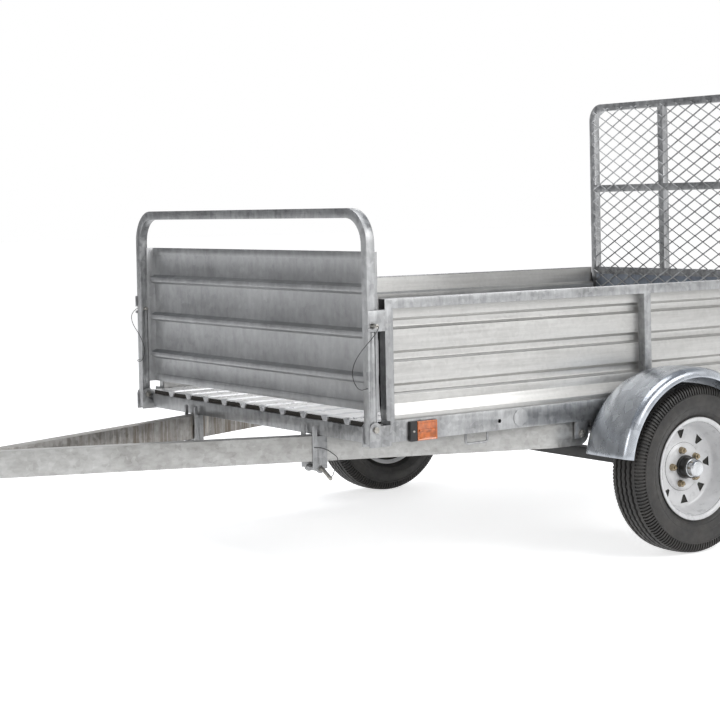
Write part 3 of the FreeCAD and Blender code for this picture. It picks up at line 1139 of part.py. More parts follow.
# ------------------------------------------------------------------ front gate and ramp
def front_gate():
    """Hoop, ribbed panel and latch pins of the front gate."""
    half = "(gate_width / 2)"
    bare = hoop("gate_hoop_tube", f"{FRONT} + gate_forward", half, "gate_foot", "gate_top", "gate_tube",
                "gate_wall", "gate_radius")
    holes = []
    for side, sign in SIDES:
        low = f"({half} - gate_tube - 1)" if sign > 0 else f"(0 - {half} - 1)"
        holes.append(rod(f"gate_pivot_hole_{side}", (GATE_PIVOT, low, "gate_pivot_height"),
                         "bolt_radius + bolt_clearance", "gate_tube + 2", "y"))
        holes.append(rod(f"gate_pin_hole_{side}", (GATE_PIVOT, low, "latch_height"),
                         "bolt_radius + bolt_clearance", "gate_tube + 2", "y"))
    hoop_solid = cut("front_gate_hoop", bare, holes)
    face = f"({GATE_BACK} - gate_pan_depth)"
    bands = [("gate_panel_top", "0")]
    for n in range(3):
        high = f"(gate_panel_top - gate_rib_drop - {n} * gate_rib_pitch)"
        bands.append((high, f"({high} - gate_rib_height)"))
    bands.append(("0", "gate_panel_foot"))
    inside = f"({half} - gate_tube)"
    sheet = slab("gate_sheet", "y", "0", f"2 * {inside}",
                 ribbed_sheet(face, "panel_sheet", bands, "gate_rib_depth", "gate_rib_slope"))
    flange_depth = "(gate_pan_depth + 4)"
    trims = [box("gate_top_flange", (face, f"0 - {inside}", "gate_panel_top - gate_flange"),
                 ("4", f"2 * {inside}", "gate_flange")),
             box("gate_foot_flange", (face, f"0 - {inside}", "gate_panel_foot"),
                 ("4", f"2 * {inside}", "gate_flange"))]
    for side, sign in SIDES:
        low = f"({inside} - panel_sheet)" if sign > 0 else f"(0 - {inside})"
        trims.append(box(f"gate_side_flange_{side}", (face, low, "gate_panel_foot"),
                         (flange_depth, "panel_sheet", "gate_panel_top - gate_panel_foot")))
    panel = fuse("front_gate_panel", [sheet] + trims)
    x, z = size(GATE_PIVOT), size("latch_height")
    near, far = size(f"{half} - gate_tube - 10"), size(f"{half} + ear_gap + ear_sheet + 18")
    pin = shape("gate_pin_side", Part.makeCylinder(size("bolt_radius"), far - near, Vector(x, near, z), Vector(0, 1, 0)))
    return hoop_solid, panel, pair("gate_pins", pin)


def rear_ramp():
    """Frame with its bars, kick panel, latch pins and the two layers of mesh strands."""
    half = "(ramp_width / 2)"
    middle = f"({RAMP_FRONT} - ramp_tube / 2)"
    bare = hoop("ramp_hoop", middle, half, "ramp_foot", "ramp_top", "ramp_tube", "ramp_wall", "ramp_radius")
    inside = f"({half} - ramp_tube)"
    low_x = f"({RAMP_FRONT} - ramp_tube)"
    bars = [tube("ramp_sill_bar", (low_x, f"0 - {inside}", "ramp_sill"), ("ramp_tube", f"2 * {inside}", "ramp_tube"),
                 "ramp_wall", "y"),
            tube("ramp_cross_bar", (low_x, f"0 - {inside}", "ramp_bar_height - ramp_tube / 2"),
                 ("ramp_tube", f"2 * {inside}", "ramp_tube"), "ramp_wall", "y")]
    spans = [("low", "wall_top", "ramp_bar_height - ramp_tube / 2"),
             ("high", "ramp_bar_height + ramp_tube / 2", "ramp_top - ramp_tube")]
    for side, sign in SIDES:
        for name, foot, top in spans:
            bars.append(tube(f"ramp_bar_{name}_{side}",
                             (low_x, f"({sign}) * ramp_bar_spread / 2 - ramp_tube / 2", foot),
                             ("ramp_tube", "ramp_tube", f"{top} - ({foot})"), "ramp_wall", "z"))
    rail = tube("ramp_kick_rail", (low_x, f"0 - {inside}", "wall_top - ramp_tube"),
                ("ramp_tube", f"2 * {inside}", "ramp_tube"), "ramp_wall", "y")
    solid = fuse("ramp_frame_solid", [bare] + bars + [rail])
    holes = []
    for side, sign in SIDES:
        low = f"({half} - ramp_tube - 1)" if sign > 0 else f"(0 - {half} - 1)"
        holes.append(rod(f"ramp_pivot_hole_{side}", (RAMP_PIVOT, low, "ramp_pivot_height"),
                         "bolt_radius + bolt_clearance", "ramp_tube + 2", "y"))
        holes.append(rod(f"ramp_pin_hole_{side}", (RAMP_PIVOT, low, "latch_height"),
                         "bolt_radius + bolt_clearance", "ramp_tube + 2", "y"))
    frame = cut("ramp_frame", solid, holes)
    kick = box("ramp_kick_panel", (f"{RAMP_FRONT} - panel_sheet", f"0 - {inside}", "ramp_sill + ramp_tube"),
               ("panel_sheet", f"2 * {inside}", "wall_top - ramp_sill - 2 * ramp_tube"))
    x, z = size(RAMP_PIVOT), size("latch_height")
    near, far = size(f"{half} - ramp_tube"), size(f"{half} + ear_gap + ear_sheet + 18")
    pin = shape("ramp_pin_side", Part.makeCylinder(size("bolt_radius"), far - near, Vector(x, near, z), Vector(0, 1, 0)))
    return frame, kick, pair("ramp_pins", pin)


def mesh_layer(name, slope_sign, layer):
    """One layer of the ramp's mesh: parallel strands clipped to the mesh's rectangle."""
    half = size("ramp_width / 2 - ramp_tube + mesh_lap")
    low, high = size("ramp_sill + ramp_tube - mesh_lap - 8"), size("ramp_top - ramp_tube + mesh_lap")
    long, short = size("mesh_long"), size("mesh_short")
    width, depth = size("strand_width"), size("strand_depth")
    x = size(RAMP_FRONT) + layer * depth
    slope = slope_sign * short / long
    reach = width / 2 * math.hypot(1, slope)
    margin = width
    strands = []
    start = -half * abs(slope) - (high - low) / 2
    count = int(-2 * start / short) + 1
    for n in range(count):
        offset = start + (n + 0.5) * short + (low + high) / 2
        # the strand's middle line is z = offset + slope * y; its run inside the rectangle:
        ends = sorted([(low + margin - offset) / slope, (high - margin - offset) / slope])
        y0, y1 = max(-half + margin, ends[0]), min(half - margin, ends[1])
        if y1 - y0 < long:
            continue
        corners = [Vector(x, y0, offset + slope * y0 - reach), Vector(x, y1, offset + slope * y1 - reach),
                   Vector(x, y1, offset + slope * y1 + reach), Vector(x, y0, offset + slope * y0 + reach)]
        strands.append(Part.Face(Part.makePolygon(corners + corners[:1])).extrude(Vector(depth, 0, 0)))
    return shape(name, Part.makeCompound(strands))


# ------------------------------------------------------------------ lanyards
# (forward of the bed's front face, out from the hoop's side, up from the latch pin)
GATE_LANYARD = [(-3, 25, 0), (-3, 33, 0), (9, 42, -11), (22, 38, -30), (30, 7, -58), (29, -27, -83),
                (27, -57, -111), (26, -72, -140), (25, -67, -167), (25, -48, -186), (26, -24, -192),
                (24, -5, -186), (15, -5, -186)]
# (forward and outward of the drawbar's middle at the latch pin, up from the latch's foot)
TILT_LANYARD = [(16.9, 28.8, 81.6), (18.9, 34.8, 81.6), (3.7, 42.7, 81.4), (-14.8, 53.5, 74.1), (-28.3, 64.3, 61.6),
                (-36.5, 74.1, 51.8), (-37.0, 79.7, 42.3), (-29.9, 83.3, 27.8), (-19.7, 83.5, 12.7), (-12, 84.4, -6.8), (-6.05, 84.4, -6.8)]


def corner_radii(points):
    """The largest arc radius at each corner that leaves both runs straight at their middles."""
    radii = []
    for before, here, after in zip(points, points[1:], points[2:]):
        back = Vector(*before) - Vector(*here)
        ahead = Vector(*after) - Vector(*here)
        half_turn = (math.pi - back.getAngle(ahead)) / 2
        radii.append(0.45 * min(back.Length, ahead.Length) / math.tan(half_turn))
    return radii


def lanyard(name, points):
    """A thin lanyard along the points; its volume is compared with its section times its length."""
    radius = size("lanyard_radius")
    radii = corner_radii(points)
    path = rounded_path(points, radii)
    section = Part.Wire([Part.makeCircle(radius, Vector(*points[0]), Vector(*points[1]) - Vector(*points[0]))])
    solid = path.makePipeShell([section], True, False)
    share = solid.Volume / (math.pi * radius ** 2 * path.Length)
    print(f"{name}: length {path.Length:.1f}, volume share {share:.4f}, radii", [round(r, 1) for r in radii])
    return shape(name, solid)


def gate_lanyard():
    """Left gate lanyard: from the latch pin's end round to the hoop's front face."""
    front, side, high = size(FRONT), size("gate_width / 2"), size("latch_height")
    return lanyard("gate_lanyard_left", [(front + x, side + y, high + z) for x, y, z in GATE_LANYARD])


def tilt_lanyard():
    """Left tilt lanyard: from the outer latch plate to the end of the pin's handle."""
    at = latch_seat().Base + Vector(0, 0, size("latch_foot"))
    return lanyard("tilt_lanyard_left", [tuple(at + Vector(*point)) for point in TILT_LANYARD])


# ------------------------------------------------------------------ assembly
def assemble():
    """Make every sub-part and return them by node name."""
    nodes = {}

    def keep(name, item):
        nodes[name] = item

    def keep_pair(name, left):
        """A left-hand piece and its mirror image as two nodes."""
        keep(f"{name}_left", left)
        keep(f"{name}_right", mirror(f"{name}_right", left))

    keep_pair("side_rail", side_rail())
    keep("front_crossmember", front_crossmember())
    keep("rear_crossmember", channel("rear_crossmember", REAR, 1, RAIL_INNER))
    joists = [channel(f"joist_{n}", f"({FRONT} - {n} * joist_pitch)", -1, RAIL_INNER) for n in range(1, 5)]
    keep("deck_joists", group("deck_joists", joists))
    keep("deck", deck())
    keep_pair("side_frame", side_frame())
    keep_pair("side_panel", side_panel())
    keep("rail_end_plugs", pair("rail_end_plugs", rail_end_plugs()))
    base, lens = marker_lamp()
    keep("marker_lamps", pair("marker_lamps", base))
    keep("marker_lenses", pair("marker_lenses", lens))
    base, lens = tail_lamp()
    keep("tail_lamps", pair("tail_lamps", base))
    keep("tail_lenses", pair("tail_lenses", lens))
    loops = [tie_down("tie_down_front", "loop_back"), tie_down("tie_down_rear", "bed_length - loop_back")]
    keep("tie_down_loops", pair("tie_down_loops", group("tie_downs_side", loops)))
    for name, item in zip(("gate_hinge_brackets", "gate_hinge_bolts", "gate_keepers"), gate_hardware()):
        keep(name, item)
    for name, item in zip(("ramp_hinge_brackets", "ramp_hinge_bolts", "ramp_keepers"), ramp_hardware()):
        keep(name, item)
    keep("axle", axle())
    keep_pair("leaf_spring", leaf_spring())
    keep("spring_hangers", pair("spring_hangers", spring_hangers()))
    keep("axle_clamps", pair("axle_clamps", axle_clamp()))
    keep_pair("fender", fender())
    lugs, pin = tilt_lugs()
    keep("tilt_lugs", pair("tilt_lugs", lugs))
    keep("tilt_bolts", pair("tilt_bolts", pin))
    for item in wheels():
        keep(item.Label, item)
    keep_pair("tongue_beam", beam())
    keep("coupler", coupler())
    keep("coupler_latch", coupler_latch())
    for name, item in zip(("jack_plate", "jack_tube", "jack_crank", "jack_leg"), jack()):
        keep(name, item)
    brackets, pin = tilt_latch()
    keep("tilt_latches", pair("tilt_latches", brackets))
    keep("tilt_latch_pins", pair("tilt_latch_pins", pin))
    for name, item in zip(("front_gate_hoop", "front_gate_panel", "gate_pins"), front_gate()):
        keep(name, item)
    for name, item in zip(("ramp_frame", "ramp_kick_panel", "ramp_pins"), rear_ramp()):
        keep(name, item)
    keep_pair("gate_lanyard", gate_lanyard())
    keep_pair("tilt_lanyard", tilt_lanyard())
    keep("ramp_mesh_rising", mesh_layer("ramp_mesh_rising", 1, 0))
    keep("ramp_mesh_falling", mesh_layer("ramp_mesh_falling", -1, 1))
    return nodes


def check(nodes):
    """Stop on a failed object or a piece whose shape isn't whole."""
    for item in DOC.Objects:
        if "Invalid" in item.State or "Error" in item.State:
            raise RuntimeError(f"{item.Name} failed: {item.State}")
    for name, item in nodes.items():
        if item.Shape.isNull() or not item.Shape.isValid() or not item.Shape.Solids:
            raise RuntimeError(f"{name} has no valid shape")


NODES = assemble()
for node_name, node in NODES.items():
    node.Label = node_name
DOC.recompute()
check(NODES)
os.makedirs("parts", exist_ok=True)
for node_name, node in NODES.items():
    node.Shape.exportStep(f"parts/{node_name}.step")
    print(node_name, len(node.Shape.Solids), round(node.Shape.Volume / 1000))
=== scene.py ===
"""Finished model of a galvanized utility trailer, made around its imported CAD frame."""

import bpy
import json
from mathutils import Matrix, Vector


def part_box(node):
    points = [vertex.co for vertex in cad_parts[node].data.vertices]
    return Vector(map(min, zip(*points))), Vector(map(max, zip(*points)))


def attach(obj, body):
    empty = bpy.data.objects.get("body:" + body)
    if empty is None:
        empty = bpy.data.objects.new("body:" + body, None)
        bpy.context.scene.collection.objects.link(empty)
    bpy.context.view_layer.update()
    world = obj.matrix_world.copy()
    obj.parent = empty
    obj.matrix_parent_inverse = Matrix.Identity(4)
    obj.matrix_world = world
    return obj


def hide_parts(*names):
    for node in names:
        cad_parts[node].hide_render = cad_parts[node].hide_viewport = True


bl_info = {
    "name": "Galvanized Utility Trailer",
    "version": (1, 0, 0),
    "blender": (4, 5, 0),
    "location": "View3D > Sidebar > Trailer",
    "description": "Finishes each piece of a galvanized utility trailer around its CAD frame",
    "category": "Object",
}

import json
import math
from contextlib import contextmanager

import bmesh
import bpy
from bpy.props import FloatProperty, FloatVectorProperty, IntProperty, PointerProperty
from mathutils import Matrix, Vector

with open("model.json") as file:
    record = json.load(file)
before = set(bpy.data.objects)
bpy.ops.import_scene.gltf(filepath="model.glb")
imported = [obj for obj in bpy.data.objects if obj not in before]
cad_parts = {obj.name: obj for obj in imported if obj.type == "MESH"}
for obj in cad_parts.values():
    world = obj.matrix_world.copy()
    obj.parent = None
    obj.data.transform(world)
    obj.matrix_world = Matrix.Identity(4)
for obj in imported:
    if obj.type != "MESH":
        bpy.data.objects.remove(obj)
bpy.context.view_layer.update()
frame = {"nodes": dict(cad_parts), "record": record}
BODY_OF = {node: body for body, nodes in frame["record"]["behaviour"]["bodies"].items() for node in nodes}
SLOT_OF = {part["node"]: part["material_slot"] for part in frame["record"]["subparts"]}
SIDES = (("left", 1), ("right", -1))


def middle(node):
    """Middle of a CAD node's box."""
    low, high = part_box(node)
    return (low + high) / 2


# ------------------------------------------------------------------ settings
class TrailerFinish(bpy.types.PropertyGroup):
    """Colours of the trailer's finishes."""
    zinc_dark: FloatVectorProperty(name="Zinc dark", description="Dark patches of the galvanizing",
                                   subtype="COLOR", default=(0.17, 0.172, 0.175))
    zinc_light: FloatVectorProperty(name="Zinc light", description="Bright patches of the galvanizing",
                                    subtype="COLOR", default=(0.50, 0.505, 0.51))
    stain: FloatVectorProperty(name="Stain", description="Brown stain on the drawbars", subtype="COLOR",
                               default=(0.16, 0.125, 0.09))
    rim_white: FloatVectorProperty(name="Rim white", description="Powder coat of the rims", subtype="COLOR",
                                   default=(0.66, 0.66, 0.665))
    rubber: FloatVectorProperty(name="Rubber", description="Tyre rubber", subtype="COLOR",
                                default=(0.018, 0.017, 0.016))
    amber: FloatVectorProperty(name="Amber", description="Marker lens", subtype="COLOR",
                               default=(0.80, 0.19, 0.02))
    red: FloatVectorProperty(name="Red", description="Tail lens", subtype="COLOR",
                             default=(0.55, 0.015, 0.015))
    black: FloatVectorProperty(name="Black", description="Paint and plastic", subtype="COLOR",
                               default=(0.012, 0.012, 0.012))


class TrailerSizes(bpy.types.PropertyGroup):
    """Sizes of what the finished pieces add to the frame."""
    edge: FloatProperty(name="Edge", description="Rounding of steel edges", default=0.0012, unit="LENGTH")
    strand: FloatProperty(name="Strand", description="Width of a mesh strand", default=0.0056, unit="LENGTH")
    diamond_long: FloatProperty(name="Diamond long", description="Mesh diamond across", default=0.088,
                                unit="LENGTH")
    diamond_short: FloatProperty(name="Diamond short", description="Mesh diamond upright", default=0.049,
                                 unit="LENGTH")
    tread_steps: IntProperty(name="Tread steps", description="Steps round a tyre, two to a lug", default=288)
    tread_depth: FloatProperty(name="Tread depth", description="Depth of the notches between shoulder lugs",
                               default=0.005, unit="LENGTH")
    lanyard: FloatProperty(name="Lanyard", description="Radius of a lanyard", default=0.0012, unit="LENGTH")


def finish():
    return bpy.context.scene.trailer_finish


def sizes():
    return bpy.context.scene.trailer_sizes


# ------------------------------------------------------------------ modelling by operators
def activate(piece):
    """Makes a piece the only selected object, and the active one."""
    bpy.ops.object.select_all(action="DESELECT")
    piece.select_set(True)
    bpy.context.view_layer.objects.active = piece


@contextmanager
def editing(piece):
    """Edit mode on one piece."""
    activate(piece)
    bpy.ops.object.mode_set(mode="EDIT")
    yield
    bpy.ops.object.mode_set(mode="OBJECT")


def pick(piece, rule, kind="FACE"):
    """In edit mode, selects exactly the vertices, edges or faces for which the rule holds."""
    bpy.ops.mesh.select_mode(type=kind)
    bpy.ops.mesh.select_all(action="DESELECT")
    mesh = bmesh.from_edit_mesh(piece.data)
    found = 0
    for element in {"VERT": mesh.verts, "EDGE": mesh.edges, "FACE": mesh.faces}[kind]:
        if rule(element):
            element.select_set(True)
            found += 1
    mesh.select_flush_mode()
    bmesh.update_edit_mesh(piece.data)
    return found


def added(name, scale=(1, 1, 1)):
    """Names the object that an operator has just added, and puts its place and scale into its mesh."""
    piece = bpy.context.object
    piece.scale = [old * new for old, new in zip(piece.scale, scale)]
    piece.name = name
    piece.data.name = name
    bpy.ops.object.transform_apply(location=True, rotation=True, scale=True)
    return piece


def box(name, low, high):
    """A block between two corners."""
    low, high = Vector(low), Vector(high)
    bpy.ops.object.select_all(action="DESELECT")
    bpy.ops.mesh.primitive_cube_add(size=1, location=(low + high) / 2, scale=high - low)
    return added(name)


def cylinder(name, start, end, radius, sides=24, tip=None):
    """A cylinder, or a cone with a tip radius, from start to end."""
    start, end = Vector(start), Vector(end)
    turn = (end - start).to_track_quat("Z", "Y").to_euler()
    bpy.ops.object.select_all(action="DESELECT")
    bpy.ops.mesh.primitive_cone_add(vertices=sides, radius1=radius, radius2=radius if tip is None else tip,
                                    depth=(end - start).length, location=(start + end) / 2, rotation=turn)
    return added(name)


def outline(name, points, closed=False):
    """A chain of edges: one corner of a plane is kept and extruded from point to point."""
    bpy.ops.object.select_all(action="DESELECT")
    bpy.ops.mesh.primitive_plane_add(size=0.01, location=points[0])
    piece = added(name)
    with editing(piece):
        bpy.ops.mesh.select_mode(type="VERT")
        bpy.ops.mesh.select_all(action="SELECT")
        bpy.ops.mesh.merge(type="CENTER")
        for before, here in zip(points, points[1:]):
            step = Vector(here) - Vector(before)
            bpy.ops.mesh.extrude_region_move(TRANSFORM_OT_translate={"value": step})
        if closed:
            bpy.ops.mesh.select_all(action="SELECT")
            bpy.ops.mesh.edge_face_add()
    return piece


def tidy(piece, distance=1e-5):
    """Merges doubles and turns faces outwards."""
    with editing(piece):
        bpy.ops.mesh.select_all(action="SELECT")
        bpy.ops.mesh.remove_doubles(threshold=distance)
        bpy.ops.mesh.normals_make_consistent(inside=False)


def modify(piece, kind, **settings):
    """Adds a modifier and applies it."""
    activate(piece)
    modifier = piece.modifiers.new(kind.title(), kind)
    for key, value in settings.items():
        setattr(modifier, key, value)
    bpy.context.view_layer.update()
    bpy.ops.object.modifier_apply(modifier=modifier.name)


def bevel(piece, width, segments=2, angle=30):
    """Rounds every edge sharper than the angle, and shades the piece."""
    modify(piece, "BEVEL", width=width, segments=segments, limit_method="ANGLE",
           angle_limit=math.radians(angle), use_clamp_overlap=True, miter_outer="MITER_ARC")
    smooth(piece)


def smooth(piece, angle=38):
    """Shades a piece smooth, apart from edges sharper than the angle."""
    activate(piece)
    bpy.ops.object.shade_smooth_by_angle(angle=math.radians(angle))


def copied(piece, name, matrix=None):
    """A copy with its own mesh, moved by a matrix in its mesh."""
    twin = piece.copy()
    twin.data = piece.data.copy()
    twin.name = name
    twin.data.name = name
    bpy.context.scene.collection.objects.link(twin)
    if matrix is not None:
        twin.data.transform(matrix)
        if matrix.determinant() < 0:
            twin.data.flip_normals()
    return twin


def joined(name, pieces):
    """Several objects as one."""
    activate(pieces[0])
    for piece in pieces:
        piece.select_set(True)
    if len(pieces) > 1:
        bpy.ops.object.join()
    piece = bpy.context.object
    piece.name = name
    piece.data.name = name
    return piece


def mirrored(piece, name):
    """The same piece on the other side of the trailer."""
    return copied(piece, name, Matrix.Scale(-1, 4, (0, 1, 0)))


def place(piece, body, slot, material=None, replaced=()):
    """Gives a finished piece its material, the slot's unless another is given, parents it to its body and
    hides the CAD nodes that it replaces.
    """
    piece.data.materials.clear()
    piece.data.materials.append(material or finishes()[slot])
    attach(piece, body)
    if replaced:
        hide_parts(*replaced)
    return piece


def dressed(node, width=None, segments=2, angle=30, material=None, flat=True):
    """A CAD node's shape with rounded edges, standing for the node.

    flat merges the faces of each flat. A frame keeps them apart, as a merged face would cover its openings.
    """
    source = frame["nodes"][node]
    piece = bpy.data.objects.new(node + ".finished", source.data.copy())
    bpy.context.scene.collection.objects.link(piece)
    with editing(piece):
        bpy.ops.mesh.select_all(action="SELECT")
        bpy.ops.mesh.remove_doubles(threshold=2e-5)
        bpy.ops.mesh.customdata_custom_splitnormals_clear()
        if flat:
            bpy.ops.mesh.dissolve_limited(angle_limit=math.radians(0.6))
        else:
            bpy.ops.mesh.tris_convert_to_quads()
    bevel(piece, width or sizes().edge, segments, angle)
    return place(piece, BODY_OF[node], SLOT_OF[node], material, [node])


# ------------------------------------------------------------------ materials
class Tree:
    """The node tree of one material."""

    def __init__(self, name, **shader):
        self.material = bpy.data.materials.new(name)
        self.material.use_nodes = True
        self.nodes = self.material.node_tree.nodes
        self.shader = self.nodes["Principled BSDF"]
        self.point = self.add("ShaderNodeTexCoord").outputs["Object"]
        for key, value in shader.items():
            self.shader.inputs[key.replace("_", " ").title().replace("Ior", "IOR")].default_value = value

    def add(self, kind, inputs=None, **settings):
        """Adds a node; each input takes a value or another node's output."""
        node = self.nodes.new(kind)
        for key, value in settings.items():
            setattr(node, key, value)
        for key, value in (inputs or {}).items():
            self.set(node, key, value)
        return node

    def set(self, node, key, value):
        if isinstance(value, bpy.types.NodeSocket):
            self.material.node_tree.links.new(value, node.inputs[key])
        else:
            node.inputs[key].default_value = value

    def stretched(self, scale, place=(0, 0, 0)):
        """The object's own coordinates, stretched along its axes."""
        return self.add("ShaderNodeMapping", {"Vector": self.point, "Scale": scale, "Location": place}
                        ).outputs["Vector"]

    def noise(self, scale, detail=4, roughness=0.55, vector=None, distortion=0):
        return self.add("ShaderNodeTexNoise", {
            "Vector": vector or self.point, "Scale": scale, "Detail": detail, "Roughness": roughness,
            "Distortion": distortion}).outputs["Fac"]

    def cells(self, scale, feature="F1", vector=None, output="Color"):
        return self.add("ShaderNodeTexVoronoi", {"Vector": vector or self.point, "Scale": scale},
                        feature=feature).outputs[output]

    def math(self, operation, a, b=0.5, c=0.5):
        node = self.add("ShaderNodeMath", operation=operation)
        for n, value in enumerate((a, b, c)):
            self.set(node, n, value)
        return node.outputs[0]

    def spread(self, value, low, high, to_low=0.0, to_high=1.0):
        """A value mapped from one range to another, held at its ends."""
        return self.add("ShaderNodeMapRange", {
            "Value": value, "From Min": low, "From Max": high, "To Min": to_low, "To Max": to_high}
            ).outputs["Result"]

    def mix(self, factor, a, b):
        """A colour between two, by a factor."""
        node = self.add("ShaderNodeMix", data_type="RGBA")
        for key, value in (("Factor", factor), ("A", a), ("B", b)):
            for socket in node.inputs:
                if socket.name == key and socket.enabled:
                    if isinstance(value, bpy.types.NodeSocket):
                        self.material.node_tree.links.new(value, socket)
                    else:
                        socket.default_value = value if key == "Factor" else (*value[:3], 1)
        return [socket for socket in node.outputs if socket.enabled][0]

    def bump(self, height, strength, distance=0.001):
        return self.add("ShaderNodeBump", {"Height": height, "Strength": strength, "Distance": distance}
                        ).outputs["Normal"]

    def surface(self, **links):
        for key, value in links.items():
            self.set(self.shader, key.replace("_", " ").title(), value)
        return self.material


def zinc(name, dark, light, spangle=70, streak=(6, 6, 1.2), rough=(0.30, 0.50), pits=0.5, metallic=0.80,
         stain=None, cloudy=0.5, contrast=0.30):
    """Galvanized steel: crystal patches, clouds, drawn-out streaks, pits and, on some pieces, brown drips."""
    tree = Tree(name, metallic=metallic)
    shift = tree.add("ShaderNodeTexNoise", {"Vector": tree.point, "Scale": 30.0, "Detail": 2.0}
                     ).outputs["Color"]
    wavy = tree.add("ShaderNodeVectorMath", {0: shift, 1: (0.02, 0.02, 0.02), 2: tree.point},
                    operation="MULTIPLY_ADD").outputs["Vector"]
    crystal = tree.spread(tree.cells(spangle, vector=wavy), 0.0, 1.0)
    cloud = tree.noise(3.2, 6, 0.58, distortion=0.5)
    streaks = tree.noise(10.0, 6, 0.62, vector=tree.stretched(streak))
    tone = tree.math("MULTIPLY_ADD", cloud, cloudy, tree.math("MULTIPLY_ADD", crystal, 0.16,
                                                              tree.math("MULTIPLY", streaks, 0.95 - cloudy)))
    colour = tree.mix(tree.spread(tone, 0.56 - contrast / 2, 0.56 + contrast / 2), dark, light)
    if stain:
        drips = tree.noise(16.0, 5, 0.7, vector=tree.stretched((4.0, 4.0, 0.25)))
        area = tree.spread(tree.noise(2.4, 3), 0.40, 0.60)
        colour = tree.mix(tree.math("MULTIPLY", tree.spread(drips, 0.46, 0.60, 0, 0.85), area), colour, stain)
        colour = tree.mix(tree.math("MULTIPLY", tree.spread(drips, 0.40, 0.33, 0, 0.8), area), colour,
                          (0.66, 0.62, 0.56))
    speck = tree.cells(210.0, output="Distance")
    speck = tree.math("MULTIPLY", tree.spread(speck, 0.16, 0.04),
                      tree.spread(tree.noise(24.0, 3), 0.52, 0.64))
    colour = tree.mix(tree.math("MULTIPLY", speck, pits), colour, (0.035, 0.035, 0.035))
    gloss = tree.spread(tree.math("MULTIPLY_ADD", crystal, 0.5, tree.math("MULTIPLY", cloud, 0.6)),
                        0.3, 0.8, *rough)
    relief = tree.math("MULTIPLY_ADD", tree.noise(420.0, 3), 0.25,
                       tree.math("MULTIPLY_ADD", speck, -0.8, tree.noise(38.0, 4, 0.6)))
    return tree.surface(base_color=colour, roughness=gloss, normal=tree.bump(relief, 0.16, 0.0012))


def coated(name, colour, roughness, depth=0.02, **shader):
    """Paint, plastic or rubber with a slightly uneven colour and gloss."""
    tree = Tree(name, **shader)
    spot = tree.noise(26.0, 5, 0.6)
    grain = tree.noise(900.0, 2)
    pale = tuple(min(1.0, channel * 1.16 + depth) for channel in colour)
    tone = tree.mix(tree.spread(spot, 0.35, 0.7), colour, pale)
    gloss = tree.spread(spot, 0.3, 0.7, roughness - 0.05, roughness + 0.09)
    return tree.surface(base_color=tone, roughness=gloss, normal=tree.bump(grain, 0.12, 0.0004))


def tyre_rubber(name):
    """Rubber with patches of dust."""
    tree = Tree(name)
    dust = tree.spread(tree.noise(14.0, 6, 0.7), 0.42, 0.70, 0, 0.75)
    colour = tree.mix(dust, finish().rubber, (0.052, 0.047, 0.042))
    return tree.surface(base_color=colour, roughness=tree.spread(tree.noise(60.0, 4), 0.3, 0.7, 0.40, 0.62),
                        normal=tree.bump(tree.noise(520.0, 3), 0.35, 0.0006))


def lens(name, colour):
    """A clear-coated lens, mottled between its colour and a darker one."""
    tree = Tree(name, coat_weight=0.6, coat_roughness=0.05, specular_ior_level=0.6)
    tone = tree.mix(tree.spread(tree.noise(55.0, 3), 0.35, 0.7), tuple(channel * 0.55 for channel in colour),
                    colour)
    return tree.surface(base_color=tone, roughness=tree.spread(tree.noise(120.0, 2), 0.3, 0.7, 0.14, 0.26))


def tinted(colour, *factors):
    """A colour times one factor, or times a factor for each channel."""
    factors = factors * 3 if len(factors) == 1 else factors
    return tuple(channel * factor for channel, factor in zip(colour, factors))


_finishes = {}


